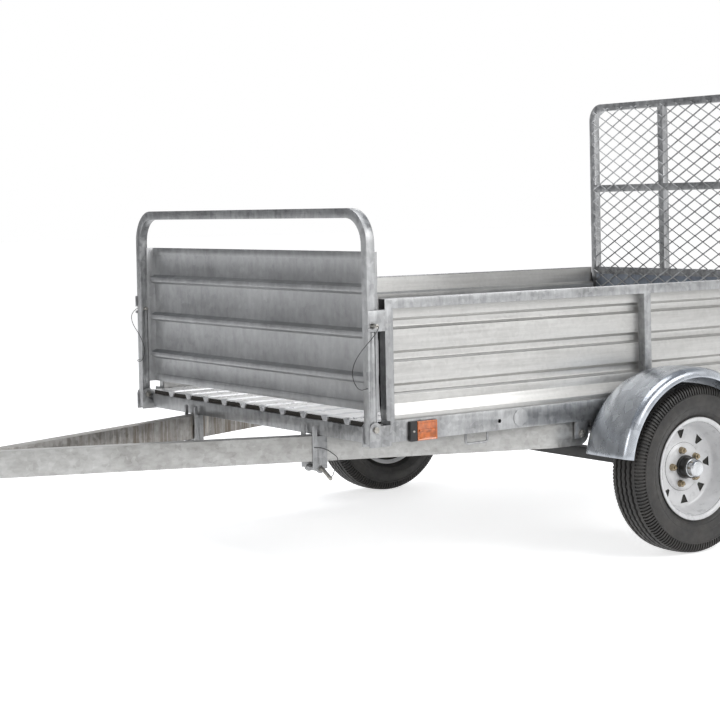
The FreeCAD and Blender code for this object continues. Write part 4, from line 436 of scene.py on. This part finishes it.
def finishes():
    """The materials by name, made once: one for each slot, and variants for pieces that look different."""
    if not _finishes:
        dark, light = tuple(finish().zinc_dark), tuple(finish().zinc_light)
        _finishes.update({
            "galvanized": zinc("galvanized", dark, light, contrast=0.42),
            "bright_sheet": zinc("bright_sheet", tinted(dark, 2.2, 2.15, 2.05),
                                 tinted(light, 1.18, 1.16, 1.12), spangle=90, streak=(0.4, 9, 9),
                                 rough=(0.34, 0.46), pits=0.25, cloudy=0.35,
                                 metallic=0.88, contrast=0.6),
            "zinc_bolts": zinc("zinc_bolts", (0.24, 0.23, 0.21), (0.54, 0.52, 0.48), spangle=400,
                               rough=(0.25, 0.40), metallic=0.9),
            "brass_zinc": zinc("brass_zinc", (0.13, 0.10, 0.06), (0.42, 0.35, 0.24), spangle=300,
                               rough=(0.25, 0.38), metallic=0.9),
            "black_steel": coated("black_steel", tuple(finish().black), 0.34, depth=0.004),
            "black_plastic": coated("black_plastic", tuple(finish().black), 0.5, depth=0.004),
            "amber_lens": lens("amber_lens", tuple(finish().amber)),
            "red_lens": lens("red_lens", tuple(finish().red)),
            "tyre_rubber": tyre_rubber("tyre_rubber"),
            "white_rim": coated("white_rim", tuple(finish().rim_white), 0.28, depth=0.0, coat_weight=0.4),
            "lanyard": coated("lanyard", (0.03, 0.03, 0.03), 0.5),
            "drawbar": zinc("drawbar", tinted(dark, 1.5, 1.45, 1.36), tinted(light, 1.06, 1.05, 1.02),
                            streak=(0.7, 5, 5), contrast=0.42),
            "drip_drawbar": zinc("drip_drawbar", tinted(dark, 1.3, 1.22, 1.12),
                                 tinted(light, 0.95, 0.92, 0.88), stain=tuple(finish().stain),
                                 streak=(3, 5, 1)),
            "gate_sheet": zinc("gate_sheet", tinted(dark, 1.4), tinted(light, 0.92), spangle=55,
                               streak=(5, 4, 1.4), rough=(0.32, 0.46), pits=0.8, cloudy=0.5, contrast=0.5),
            "deck_sheet": zinc("deck_sheet", (0.55, 0.55, 0.56), (0.92, 0.92, 0.92), streak=(0.3, 14, 4),
                               rough=(0.26, 0.38), pits=0.2, cloudy=0.1, metallic=0.5, contrast=0.4),
            "fender_sheet": zinc("fender_sheet", (0.30, 0.32, 0.35), (0.60, 0.63, 0.67), spangle=26,
                                 streak=(0.8, 2.5, 0.8), rough=(0.22, 0.34), pits=0.08, cloudy=0.55,
                                 metallic=0.85, contrast=0.36),
            "kick_sheet": zinc("kick_sheet", (0.13, 0.15, 0.18), (0.30, 0.33, 0.38), metallic=0.7,
                               contrast=0.5),
            "mesh_zinc": zinc("mesh_zinc", tinted(dark, 1.3), tinted(light, 1.1), rough=(0.28, 0.40),
                              metallic=0.85),
            "cap_steel": zinc("cap_steel", (0.36, 0.37, 0.38), (0.60, 0.61, 0.62), spangle=40,
                              rough=(0.16, 0.24), pits=0.1, metallic=0.95, contrast=0.5),
            # Near-black: painted shade on the rim's inside and on a disc behind its windows
            "painted_rim_shade": coated("painted_rim_shade", (0.035, 0.034, 0.030), 0.8, depth=0.0),
            # Dark brown: painted shade in the open ends of the deck's crests
            "painted_gap_shade": coated("painted_gap_shade", (0.020, 0.017, 0.014), 0.9, depth=0.0),
        })
    return _finishes


# ------------------------------------------------------------------ stage
CAMERA_PLACE = (3.4105, 5.0887, 1.1552)
CAMERA_TURN = (-126.612, -1.138, -1.046)  # yaw, pitch and roll in degrees
FLOOR_WIDTH = 120
FLOOR_GLOW = 0.68  # of the floor as the camera and reflections see it, so that it blends into the background
WORLD_FILL = 0.36  # of the background as a light; the camera and reflections see it at 1
# name, place, turn, scale, colour
CARDS = (("overhead_card", (0, 0, 7.0), (0, 0, 0), (16, 16, 1), (0.30, 0.33, 0.38)),
         ("side_card", (7.0, -7.5, 3.5), (math.pi / 2, 0, math.radians(42)), (12, 7, 1), (0.62, 0.62, 0.63)))
# name, place, aimed at, width, height, watts
LAMPS = (("key", (-2.2, 5.6, 4.0), (-0.5, 0.4, 0.6), 4.6, 2.6, 190),
         ("front", (6.0, 1.5, 3.4), (0.4, 0.0, 0.7), 2.4, 2.4, 70),
         ("top", (-0.5, 0.0, 5.6), (-0.4, 0.0, 0.0), 4.5, 3.0, 150),
         ("back", (-5.5, -4.0, 4.2), (-0.5, 0.0, 0.6), 4.0, 3.0, 90))


class TRAILER_OT_stage(bpy.types.Operator):
    """Camera off the front left corner, pale floor, dim cards and soft lamps"""
    bl_idname = "trailer.stage"
    bl_label = "Stage"

    def execute(self, context):
        self.camera(context)
        self.floor()
        self.cards()
        self.lamps()
        self.world(context)
        return {"FINISHED"}

    def camera(self, context):
        """A long lens whose picture is shifted, so that the trailer fills it from this place."""
        yaw, pitch, roll = (math.radians(angle) for angle in CAMERA_TURN)
        ahead = Vector((math.cos(yaw) * math.cos(pitch), math.sin(yaw) * math.cos(pitch), math.sin(pitch)))
        level = Vector((math.sin(yaw), -math.cos(yaw), 0))
        rise = level.cross(ahead)
        right = math.cos(roll) * level + math.sin(roll) * rise
        up = math.cos(roll) * rise - math.sin(roll) * level
        bpy.ops.object.camera_add(location=CAMERA_PLACE)
        camera = context.object
        camera.matrix_world = Matrix((*zip(right, up, -ahead, CAMERA_PLACE), (0, 0, 0, 1)))
        camera.data.sensor_width = 36
        camera.data.lens = 88.785
        camera.data.shift_x = -0.1068
        camera.data.shift_y = -0.1658
        camera.data.clip_end = 200
        context.scene.camera = camera

    def floor(self):
        """A pale floor that also glows, but only as the camera and reflections see it."""
        bpy.ops.mesh.primitive_plane_add(size=FLOOR_WIDTH, location=(0, 0, 0))
        floor = added("studio_floor")
        tree = Tree("studio_floor", roughness=0.9, specular_ior_level=0.1)
        ray = tree.add("ShaderNodeLightPath").outputs
        mirrored_ray = tree.math("MAXIMUM", ray["Is Glossy Ray"], ray["Is Transmission Ray"])
        seen = tree.math("MAXIMUM", ray["Is Camera Ray"], mirrored_ray)
        tree.surface(base_color=tree.mix(tree.noise(0.8, 2), (0.90, 0.90, 0.90), (0.93, 0.93, 0.93)),
                     emission_color=(1.0, 1.0, 1.0, 1.0),
                     emission_strength=tree.math("MULTIPLY", seen, FLOOR_GLOW))
        floor.data.materials.append(tree.material)

    def cards(self):
        """Dim cards overhead and to the front right, which the metal mirrors; the camera doesn't see them."""
        for name, at, turn, scale, colour in CARDS:
            bpy.ops.mesh.primitive_plane_add(size=1, location=at, rotation=turn)
            card = added(name, scale=scale)
            card.data.materials.append(coated(name, colour, 0.9))
            card.visible_camera = False
            card.visible_shadow = False

    def lamps(self):
        """Area lamps, each turned to the point that it is aimed at."""
        for name, at, aim, width, height, watts in LAMPS:
            bpy.ops.object.light_add(type="AREA", location=at)
            lamp = bpy.context.object
            lamp.name = name
            lamp.data.shape = "RECTANGLE"
            lamp.data.size = width
            lamp.data.size_y = height
            lamp.data.energy = watts
            lamp.rotation_euler = (Vector(aim) - Vector(at)).to_track_quat("-Z", "Y").to_euler()

    def world(self, context):
        """A white background that lights the trailer less than the camera sees it."""
        world = bpy.data.worlds.new("studio")
        world.use_nodes = True
        context.scene.world = world
        nodes, links = world.node_tree.nodes, world.node_tree.links
        rays = nodes.new("ShaderNodeLightPath").outputs
        first = nodes.new("ShaderNodeMath")
        first.operation = "MAXIMUM"
        second = nodes.new("ShaderNodeMath")
        second.operation = "MAXIMUM"
        level = nodes.new("ShaderNodeMapRange")
        links.new(rays["Is Camera Ray"], first.inputs[0])
        links.new(rays["Is Glossy Ray"], first.inputs[1])
        links.new(first.outputs[0], second.inputs[0])
        links.new(rays["Is Transmission Ray"], second.inputs[1])
        links.new(second.outputs[0], level.inputs["Value"])
        level.inputs["To Min"].default_value = WORLD_FILL
        level.inputs["To Max"].default_value = 1.0
        background = nodes["Background"]
        background.inputs["Color"].default_value = (1, 1, 1, 1)
        links.new(level.outputs["Result"], background.inputs["Strength"])
        context.scene.view_settings.view_transform = "Standard"


# ------------------------------------------------------------------ lanyards
# Both in millimetres. Gate: forward of the bed, out from the hoop, up from the latch pin.
GATE_LANYARD = [(-3, 25, 0), (-3, 33, 0), (9, 42, -11), (22, 38, -30), (30, 7, -58), (29, -27, -83),
                (27, -57, -111), (26, -72, -140), (25, -67, -167), (25, -48, -186), (26, -24, -192),
                (24, -5, -186), (15, -5, -186)]
# Tilt latch: forward and outward of the drawbar's middle at the latch pin, up from the latch's foot.
TILT_LANYARD = [(16.9, 28.8, 81.6), (18.9, 34.8, 81.6), (3.7, 42.7, 81.4), (-14.8, 53.5, 74.1),
                (-28.3, 64.3, 61.6), (-36.5, 74.1, 51.8), (-37.0, 79.7, 42.3), (-29.9, 83.3, 27.8),
                (-19.7, 83.5, 12.7), (-12, 84.4, -6.8), (-6.05, 84.4, -6.8)]
TILT_LATCH = (0.4122, 0.386819, 0.325)
GATE_LENGTH, TILT_LENGTH = 0.3096, 0.1536


class TRAILER_OT_lanyards(bpy.types.Operator):
    """Coated wire lanyards of the latch pins"""
    bl_idname = "trailer.lanyards"
    bl_label = "Lanyards"

    def execute(self, context):
        bed_front, hoop_side, latch = 0.4265, 0.741, 0.800
        gate = [(bed_front + x / 1000, hoop_side + y / 1000, latch + z / 1000) for x, y, z in GATE_LANYARD]
        tilt = [tuple(base + step / 1000 for base, step in zip(TILT_LATCH, point)) for point in TILT_LANYARD]
        for kind, body, route, length in (("gate", "front_gate", gate, GATE_LENGTH),
                                          ("tilt", "tongue", tilt, TILT_LENGTH)):
            for side, sign in SIDES:
                self.wire(f"{kind}_lanyard_{side}", body, [(x, sign * y, z) for x, y, z in route], length)
        return {"FINISHED"}

    def wire(self, node, body, route, length):
        """A round wire through a route's points, in place of its CAD node."""
        curve = bpy.data.curves.new(node + ".wire", "CURVE")
        curve.dimensions = "3D"
        curve.bevel_depth = sizes().lanyard
        curve.bevel_resolution = 3
        curve.resolution_u = 8
        spline = curve.splines.new("NURBS")
        spline.points.add(len(route) - 1)
        for point, at in zip(spline.points, route):
            point.co = (*at, 1)
        spline.order_u = 3
        spline.use_endpoint_u = True
        piece = bpy.data.objects.new(node + ".wire", curve)
        bpy.context.scene.collection.objects.link(piece)
        place(piece, body, "lanyard", replaced=[node])


# ------------------------------------------------------------------ steelwork
class TRAILER_OT_steelwork(bpy.types.Operator):
    """Rails, posts, drawbars, brackets and sheets with rounded edges"""
    bl_idname = "trailer.steelwork"
    bl_label = "Steelwork"

    def execute(self, context):
        special = {"tongue_beam_left": "drawbar", "tongue_beam_right": "drip_drawbar",
                   "front_gate_panel": "gate_sheet", "ramp_kick_panel": "kick_sheet", "deck": "deck_sheet",
                   "fender_left": "fender_sheet", "fender_right": "fender_sheet"}
        sheets = ("deck", "side_panel_left", "side_panel_right", "front_gate_panel", "ramp_kick_panel",
                  "fender_left", "fender_right")
        framed = ("ramp_frame", "front_gate_hoop")
        black = ("axle", "rail_end_plugs", "tail_lamps")
        sheet_edge, lens_edge = 0.0006, 0.004
        for node in sorted(frame["nodes"]):
            material = finishes()[special[node]] if node in special else None
            if node in sheets:
                dressed(node, sheet_edge, material=material)
            elif SLOT_OF[node] in ("galvanized", "zinc_bolts") or node in black:
                dressed(node, material=material, flat=node not in framed)
            elif node == "tail_lenses":
                dressed(node, lens_edge)
        return {"FINISHED"}


class TRAILER_OT_deck_ends(bpy.types.Operator):
    """Painted shade: dark sheets just inside the deck's front and rear edges, in the open ends of its crests
    """
    bl_idname = "trailer.deck_ends"
    bl_label = "Deck Ends"

    def execute(self, context):
        low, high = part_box("deck")
        crests = 11
        spread, shift = 0.013, 0.0145  # of the valleys: past the deck's width, and off its middle
        valley_top, valley_foot = 0.0340, 0.0160  # a valley's width at the crests' height and at its foot
        inset, lift, drop = 0.006, 0.0008, 0.0012  # from the deck's edge, its underside and its top
        pitch = (high.y - low.y + spread) / crests
        valleys = [(n - crests / 2) * pitch + shift for n in range(1, crests)]
        bounds = [low.y - valley_foot] + valleys + [high.y + valley_foot]
        foot_z, top_z = low.z + lift, high.z - drop
        # Each flat dark sheet is painted shade, set where the space under a crest is in shade
        for name, x in (("deck.front_hollows", high.x - inset), ("deck.rear_hollows", low.x + inset)):
            shade_sheets = []
            for n, (left, right) in enumerate(zip(bounds, bounds[1:])):
                crest = (left + right) / 2
                outer, inner = (right - left) / 2 - valley_foot / 2, (right - left) / 2 - valley_top / 2
                wide = (max(low.y, crest - outer), min(high.y, crest + outer))
                narrow = (max(low.y, crest - inner), min(high.y, crest + inner))
                corners = [(x, wide[0], foot_z), (x, wide[1], foot_z),
                           (x, narrow[1], top_z), (x, narrow[0], top_z)]
                shade_sheets.append(outline(f"hollow_{n}", corners, closed=True))
            place(joined(name, shade_sheets), "bed", SLOT_OF["deck"], finishes()["painted_gap_shade"])
        return {"FINISHED"}


# ------------------------------------------------------------------ wheels
def on_both_wheels(piece, slot, finish_name, replaced=()):
    """Places a piece of the left wheel and its mirrored twin, each standing for its own side's CAD nodes."""
    twin = mirrored(piece, piece.name.replace("left", "right"))
    material = finishes()[finish_name]
    place(piece, "wheel_left", slot, material, replaced)
    place(twin, "wheel_right", slot, material, [node.replace("left", "right") for node in replaced])


# Millimetres (out from the tyre's middle, from the axle) of one half of the tyre's outside, bead to middle
TYRE_HALF = [(46, 152), (51.5, 153), (52.5, 172), (56, 176.5), (61, 181), (62, 183), (64.5, 184.5),
             (68, 194), (70.6, 203), (70, 205), (71, 207), (72.2, 214), (72, 222), (70.8, 233), (69.8, 239),
             (71.2, 240.5), (70.8, 243.5), (68.8, 245), (67.2, 251), (66, 258), (61.5, 266.5), (56, 271.6),
             (49, 274.6), (37, 276.4), (35, 270), (29, 270), (27, 277.2), (15, 277.8), (13, 270.6),
             (8, 270.6), (6, 278)]
# Metres, in the same way: half of the tyre's inside, from the bead to the middle
TYRE_INSIDE = [(0.040, 0.156), (0.046, 0.178), (0.061, 0.212), (0.056, 0.256), (0.045, 0.263), (0, 0.266)]


class TRAILER_OT_tyres(bpy.types.Operator):
    """Tyres with a ribbed tread, shoulder lugs and moulded rings on the sidewalls"""
    bl_idname = "trailer.tyres"
    bl_label = "Tyres"

    def execute(self, context):
        steps = sizes().tread_steps
        half = [(y / 1000, r / 1000) for y, r in TYRE_HALF]
        ring = half + [(-y, r) for y, r in reversed(half)]
        ring += [(-y, r) for y, r in TYRE_INSIDE] + TYRE_INSIDE[-2::-1]
        tyre = outline("tyre_left.moulded", [(0, y, r) for y, r in ring + ring[:1]])
        with editing(tyre):
            bpy.ops.mesh.select_all(action="SELECT")
            bpy.ops.mesh.spin(steps=steps, angle=2 * math.pi, center=(0, 0, 0), axis=(0, 1, 0))
        tidy(tyre)
        self.tread(tyre, steps)
        tidy(tyre)
        smooth(tyre, 32)
        tyre.data.transform(Matrix.Translation(middle("tyre_left")))
        on_both_wheels(tyre, "tyre_rubber", "tyre_rubber", ["tyre_left"])
        return {"FINISHED"}

    def tread(self, tyre, steps):
        """Wavy grooves between the ribs, and notches that leave lugs on the shoulders."""
        groove_radius, groove_from, groove_to, sway = 0.2699, 0.005, 0.0371, 0.0014
        lug_radius, lug_from, lug_to = 0.2473, 0.0475, 0.0686

        def steps_round(at):
            return math.atan2(at.z, at.x) / (2 * math.pi) * steps

        def grooved(vert):
            at = vert.co
            return math.hypot(at.x, at.z) > groove_radius and groove_from < abs(at.y) < groove_to

        def notched(face):
            at = face.calc_center_median()
            return int(steps_round(at) + steps) % 2 == 0 and math.hypot(at.x, at.z) > lug_radius and \
                lug_from < abs(at.y) < lug_to

        with editing(tyre):
            for sign, turn in ((1, (0, 1)), (-1, (2, 3))):
                pick(tyre, lambda vert: grooved(vert) and round(steps_round(vert.co)) % 4 in turn, "VERT")
                bpy.ops.transform.translate(value=(0, sign * sway, 0))
            pick(tyre, notched)
            inwards = {"value": -sizes().tread_depth}
            bpy.ops.mesh.extrude_region_shrink_fatten(TRANSFORM_OT_shrink_fatten=inwards)


# Millimetres (out from the tyre's middle, from the axle) of the rim: the disc's face, the barrel inside,
# round the outer flange, the barrel under the tyre, round the inner flange, and the disc's back
RIM_SECTION = [(-4, 30), (-4, 70), (-5, 73.5), (-12.5, 80), (-14, 84), (-14, 125), (-12.8, 128.5),
               (-11, 130.8), (-12.6, 132.2), (-11.5, 133.8), (-6, 138.2), (5, 142), (21, 145.4),
               (26, 147.4), (39, 150.2), (49, 152), (54, 154.8), (57, 160), (58.6, 165.4), (59, 167.2),
               (57.6, 168.8), (55, 169), (52.2, 167.2), (51, 162), (50, 156.5), (14, 154.5), (4, 147),
               (-19, 144), (-39, 144), (-43, 154), (-51, 156), (-57, 168), (-59, 169), (-59, 166),
               (-55, 153), (-45, 151), (-41, 141), (-21, 141), (-17.5, 134), (-17.5, 86), (-8, 75),
               (-7.5, 30)]
# Metres (from the axle, to the side) of a window's corners
WINDOW = [(0.1215, -0.0165), (0.1215, 0.0165), (0.0945, 0.004), (0.0945, -0.004)]
WINDOWS = 8
WINDOW_TURN = -3  # of the first window, in degrees


class TRAILER_OT_rims(bpy.types.Operator):
    """White rims: a dished disc with eight windows, and painted shade behind them"""
    bl_idname = "trailer.rims"
    bl_label = "Rims"

    def execute(self, context):
        centre = middle("tyre_left")
        ring = [(0, out / 1000, radius / 1000) for out, radius in RIM_SECTION]
        rim = outline("rim_left.finished", ring + ring[:1])
        steps, edge, sharp = 128, 0.0006, 40
        with editing(rim):
            bpy.ops.mesh.select_all(action="SELECT")
            bpy.ops.mesh.spin(steps=steps, angle=2 * math.pi, center=(0, 0, 0), axis=(0, 1, 0))
        tidy(rim)
        modify(rim, "BOOLEAN", object=self.windows(), operation="DIFFERENCE", solver="EXACT")
        bpy.data.objects.remove(bpy.data.objects["rim_windows"])
        bevel(rim, edge, 2, sharp)
        rim.data.transform(Matrix.Translation(centre))
        # The faces behind the disc and in the windows' edges are split off and get painted shade in place of
        # the white coat
        back = copied(rim, "rim_left.behind")
        with editing(rim):
            pick(rim, lambda face: self.in_painted_shade(face, centre))
            bpy.ops.mesh.delete(type="FACE")
        with editing(back):
            pick(back, lambda face: not self.in_painted_shade(face, centre))
            bpy.ops.mesh.delete(type="FACE")
        # A dark disc behind the windows: painted shade where the wheel's inside is in shade; the wheel has no
        # such part
        shade_radius, shade_back, shade_front = 0.1335, Vector((0, -0.0205, 0)), Vector((0, -0.0180, 0))
        shade = cylinder("rim_left.shade", centre + shade_back, centre + shade_front, shade_radius, 96)
        on_both_wheels(rim, "white_rim", "white_rim", ["rim_left"])
        on_both_wheels(back, "white_rim", "painted_rim_shade")
        on_both_wheels(shade, "white_rim", "painted_rim_shade")
        return {"FINISHED"}

    def windows(self):
        """Prisms through the disc that narrow towards the axle, as one cutter."""
        back, depth = -0.03, 0.05
        cutters = []
        for n in range(WINDOWS):
            turn = math.radians(360 / WINDOWS * n + WINDOW_TURN)
            sine, cosine = math.sin(turn), math.cos(turn)
            corners = [(r * cosine - w * sine, back, r * sine + w * cosine) for r, w in WINDOW]
            cutter = outline(f"window_{n}", corners, closed=True)
            with editing(cutter):
                bpy.ops.mesh.select_all(action="SELECT")
                bpy.ops.mesh.extrude_region_move(TRANSFORM_OT_translate={"value": (0, depth, 0)})
            tidy(cutter)
            cutters.append(cutter)
        return joined("rim_windows", cutters)

    def in_painted_shade(self, face, centre):
        """Whether a face of the rim is behind the disc or in a window's edge, where it gets painted shade."""
        disc_radius, pad_back, barrel_radius, disc_back = 0.130, -0.0045, 0.1535, -0.0145
        facing_out = 0.3
        at = face.calc_center_median() - centre
        out = Vector((at.x, 0, at.z))
        on_disc = out.length < disc_radius and face.normal.y < facing_out and at.y < pad_back
        in_barrel = out.length < barrel_radius and at.y < disc_back and face.normal.dot(out) < 0
        return on_disc or in_barrel


NUTS = 5
NUT_CIRCLE = 0.05715
NUT_TURN = 4  # of the first nut, in degrees
# name, length, radius, sides, radius at the tip
NUT_PARTS = (("nut", 0.014, 0.0110, 6, None), ("seat", 0.004, 0.0122, 24, 0.0105),
             ("stud", 0.021, 0.0059, 20, 0.0052))


class TRAILER_OT_hubs(bpy.types.Operator):
    """Black hub barrels, bright caps, and plated studs and nuts"""
    bl_idname = "trailer.hubs"
    bl_label = "Hubs"

    def execute(self, context):
        low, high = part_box("hub_left")
        centre = middle("tyre_left")
        end = high.y
        disc = 0.875  # outer face of the rim's centre pad
        barrel_end, barrel_radius = end - 0.0285, 0.0345
        flange_back, flange_front, flange_radius = disc - 0.012, disc - 0.003, 0.071
        collar_front, collar_radius = disc + 0.010, 0.0385
        cap_back, cap_shoulder, lip_front = end - 0.029, end - 0.006, end - 0.025
        cap_radius, dome_radius, lip_radius = 0.0282, 0.0235, 0.0305
        barrel_edge, cap_edge, nut_edge = 0.0018, 0.0012, 0.0008

        def turned(name, start, stop, radius, tip=None):
            start, stop = (centre.x, start, centre.z), (centre.x, stop, centre.z)
            return cylinder(f"hub_left.{name}", start, stop, radius, 48, tip)

        barrel = turned("barrel", low.y, barrel_end, barrel_radius)
        flange = turned("flange", flange_back, flange_front, flange_radius)
        collar = turned("collar", disc, collar_front, collar_radius)
        black = joined("hub_left.barrel", [barrel, flange, collar])
        bevel(black, barrel_edge, 3)
        cap = turned("cap", cap_back, cap_shoulder, cap_radius)
        dome = turned("dome", cap_shoulder, end, cap_radius, dome_radius)
        lip = turned("lip", cap_back, lip_front, lip_radius)
        cap = joined("hub_left.cap", [cap, dome, lip])
        tidy(cap)
        bevel(cap, cap_edge, 3)
        nuts = joined("hub_left.nuts", self.nuts(centre, disc))
        bevel(nuts, nut_edge, 2)
        on_both_wheels(black, "black_steel", "black_steel", ["hub_left"])
        on_both_wheels(cap, "zinc_bolts", "cap_steel")
        on_both_wheels(nuts, "zinc_bolts", "brass_zinc")
        return {"FINISHED"}

    def nuts(self, centre, disc):
        """Nuts with their seats and studs, in a circle round the hub."""
        pieces = []
        for n in range(NUTS):
            angle = math.radians(NUT_TURN + 360 / NUTS * n)
            x, z = centre.x + NUT_CIRCLE * math.cos(angle), centre.z + NUT_CIRCLE * math.sin(angle)
            for name, length, radius, sides, tip in NUT_PARTS:
                end = (x, disc + length, z)
                pieces.append(cylinder(f"{name}_{n}", (x, disc, z), end, radius, sides, tip))
        return pieces


# ------------------------------------------------------------------ ramp
class TRAILER_OT_mesh(bpy.types.Operator):
    """Expanded metal mesh on the ramp: leaning strands between diamond-shaped openings"""
    bl_idname = "trailer.mesh"
    bl_label = "Mesh"

    def execute(self, context):
        low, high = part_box("ramp_mesh_rising")
        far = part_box("ramp_mesh_falling")[1].x
        long, short, strand = sizes().diamond_long, sizes().diamond_short, sizes().strand
        lean = math.radians(28)  # of a strand about its own length
        flat = (far - low.x) * 0.5 * 0.55
        corner = 0.050  # cut off the mesh's two upper corners
        centre = (low.x + far) / 2
        slope = math.atan2(short, long)
        length = math.hypot(long, short) / 2 + strand * 0.5
        bars = []
        # one diamond's four strands: place across and up, in diamonds, and the way that it slopes
        strands = ((0.25, 0.25, 1), (0.25, -0.25, -1), (0.75, 0.75, 1), (0.75, 0.25, -1))
        for n, (y, z, sign) in enumerate(strands):
            bpy.ops.object.select_all(action="DESELECT")
            bpy.ops.mesh.primitive_cube_add(size=1, scale=(flat, length, strand), location=(0, 0, 0))
            bar = added(f"strand_{n}")
            bar.data.transform(Matrix.Translation((centre, low.y + long * y, low.z + short * (z + 0.25))) @
                               Matrix.Rotation(sign * slope, 4, "X") @ Matrix.Rotation(lean, 4, "Y"))
            bars.append(bar)
        mesh = joined("ramp_mesh.expanded", bars)
        for count, offset in ((int((high.y - low.y) / long) + 2, (0, long, 0)),
                              (int((high.z - low.z) / short) + 2, (0, 0, short))):
            modify(mesh, "ARRAY", count=count, use_relative_offset=False, use_constant_offset=True,
                   constant_offset_displace=offset)
        with editing(mesh):
            for point, normal in (((0, high.y, 0), (0, 1, 0)), ((0, low.y, 0), (0, -1, 0)),
                                  ((0, 0, high.z), (0, 0, 1)), ((0, 0, low.z), (0, 0, -1)),
                                  ((0, high.y - corner / 2, high.z), (0, 1, 1)),
                                  ((0, low.y + corner / 2, high.z), (0, -1, 1))):
                bpy.ops.mesh.select_all(action="SELECT")
                bpy.ops.mesh.bisect(plane_co=point, plane_no=normal, use_fill=True, clear_outer=True)
        place(mesh, "rear_ramp", "bright_sheet", finishes()["mesh_zinc"],
              ["ramp_mesh_rising", "ramp_mesh_falling"])
        return {"FINISHED"}


# ------------------------------------------------------------------ lamps
class TRAILER_OT_lamps(bpy.types.Operator):
    """Side marker lamps: black housing with a screw, and a framed amber lens with a bar across it"""
    bl_idname = "trailer.lamps"
    bl_label = "Lamps"

    def execute(self, context):
        low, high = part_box("marker_lamps")
        lens_low, lens_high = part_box("marker_lenses")
        side = 0.723  # outer face of the side rail
        plate_depth, end_depth = 0.004, 0.015
        face_y, step_y, field_y = high.y, high.y - 0.003, high.y - 0.005  # lens: its frame, step and field
        margin, frame_width, step_width = 0.001, 0.006, 0.001
        bar_inset, bar_half, bar_sunk = 0.009, 0.0035, 0.0005
        rim_lap, rim_drop = 0.002, 0.009
        housing_edge, lens_edge = 0.0022, 0.0020
        plate = box("marker.plate", (low.x, side, low.z), (high.x, side + plate_depth, high.z))
        end = box("marker.end", (lens_high.x, side, low.z), (high.x, side + end_depth, high.z))
        housing = joined("marker.housing", [plate, end])
        bevel(housing, housing_edge, 3)
        lens_z = (lens_low.z + lens_high.z) / 2
        lens = box("marker.lens", (lens_low.x + margin, side + plate_depth, lens_low.z + margin),
                   (lens_high.x - margin, face_y, lens_high.z - margin))
        with editing(lens):
            pick(lens, lambda face: face.normal.y > 0.9)
            for width, depth in ((frame_width, step_y - face_y), (step_width, field_y - step_y)):
                bpy.ops.mesh.inset(thickness=width)
                bpy.ops.transform.translate(value=(0, depth, 0))
        bevel(lens, lens_edge, 3)
        bar = box("marker.bar", (lens_low.x + bar_inset, field_y - margin, lens_z - bar_half),
                  (lens_high.x - bar_inset, face_y - bar_sunk, lens_z + bar_half))
        bevel(bar, housing_edge, 3)
        lens = joined("marker.lens", [lens, bar])
        rim = box("marker.rim", (lens_low.x, side, lens_low.z),
                  (lens_high.x + rim_lap, high.y - rim_drop, lens_high.z))
        screw_x, screw_foot, screw_head = (lens_high.x + high.x) / 2, side + 0.0145, side + 0.0165
        screw = cylinder("marker.screw", (screw_x, screw_foot, lens_z), (screw_x, screw_head, lens_z),
                         0.0042, 20, 0.003)
        for piece, slot, node in ((housing, "black_plastic", "marker_lamps"),
                                  (lens, "amber_lens", "marker_lenses"),
                                  (rim, "black_plastic", None), (screw, "zinc_bolts", None)):
            twin = mirrored(piece, piece.name + ".right")
            piece.name += ".left"
            place(twin, "bed", slot)
            place(piece, "bed", slot, replaced=[node] if node else ())
        return {"FINISHED"}


CLASSES = (TrailerFinish, TrailerSizes, TRAILER_OT_stage, TRAILER_OT_lanyards, TRAILER_OT_steelwork,
           TRAILER_OT_deck_ends, TRAILER_OT_tyres, TRAILER_OT_rims, TRAILER_OT_hubs, TRAILER_OT_mesh,
           TRAILER_OT_lamps)
STEPS = ("stage", "lanyards", "steelwork", "deck_ends", "tyres", "rims", "hubs", "mesh", "lamps")


class TRAILER_PT_build(bpy.types.Panel):
    """Operators that build the trailer, in order"""
    bl_idname = "TRAILER_PT_build"
    bl_label = "Utility trailer"
    bl_space_type = "VIEW_3D"
    bl_region_type = "UI"
    bl_category = "Trailer"

    def draw(self, context):
        for group in (context.scene.trailer_finish, context.scene.trailer_sizes):
            for key in group.__annotations__:
                self.layout.prop(group, key)
        for step in STEPS:
            self.layout.operator(f"trailer.{step}")


def register():
    for cls in CLASSES + (TRAILER_PT_build,):
        bpy.utils.register_class(cls)
    bpy.types.Scene.trailer_finish = PointerProperty(type=TrailerFinish)
    bpy.types.Scene.trailer_sizes = PointerProperty(type=TrailerSizes)


def unregister():
    del bpy.types.Scene.trailer_sizes
    del bpy.types.Scene.trailer_finish
    for cls in reversed(CLASSES + (TRAILER_PT_build,)):
        bpy.utils.unregister_class(cls)


def main():
    register()
    for step in STEPS:
        getattr(bpy.ops.trailer, step)()


if __name__ == "__main__":
    main()
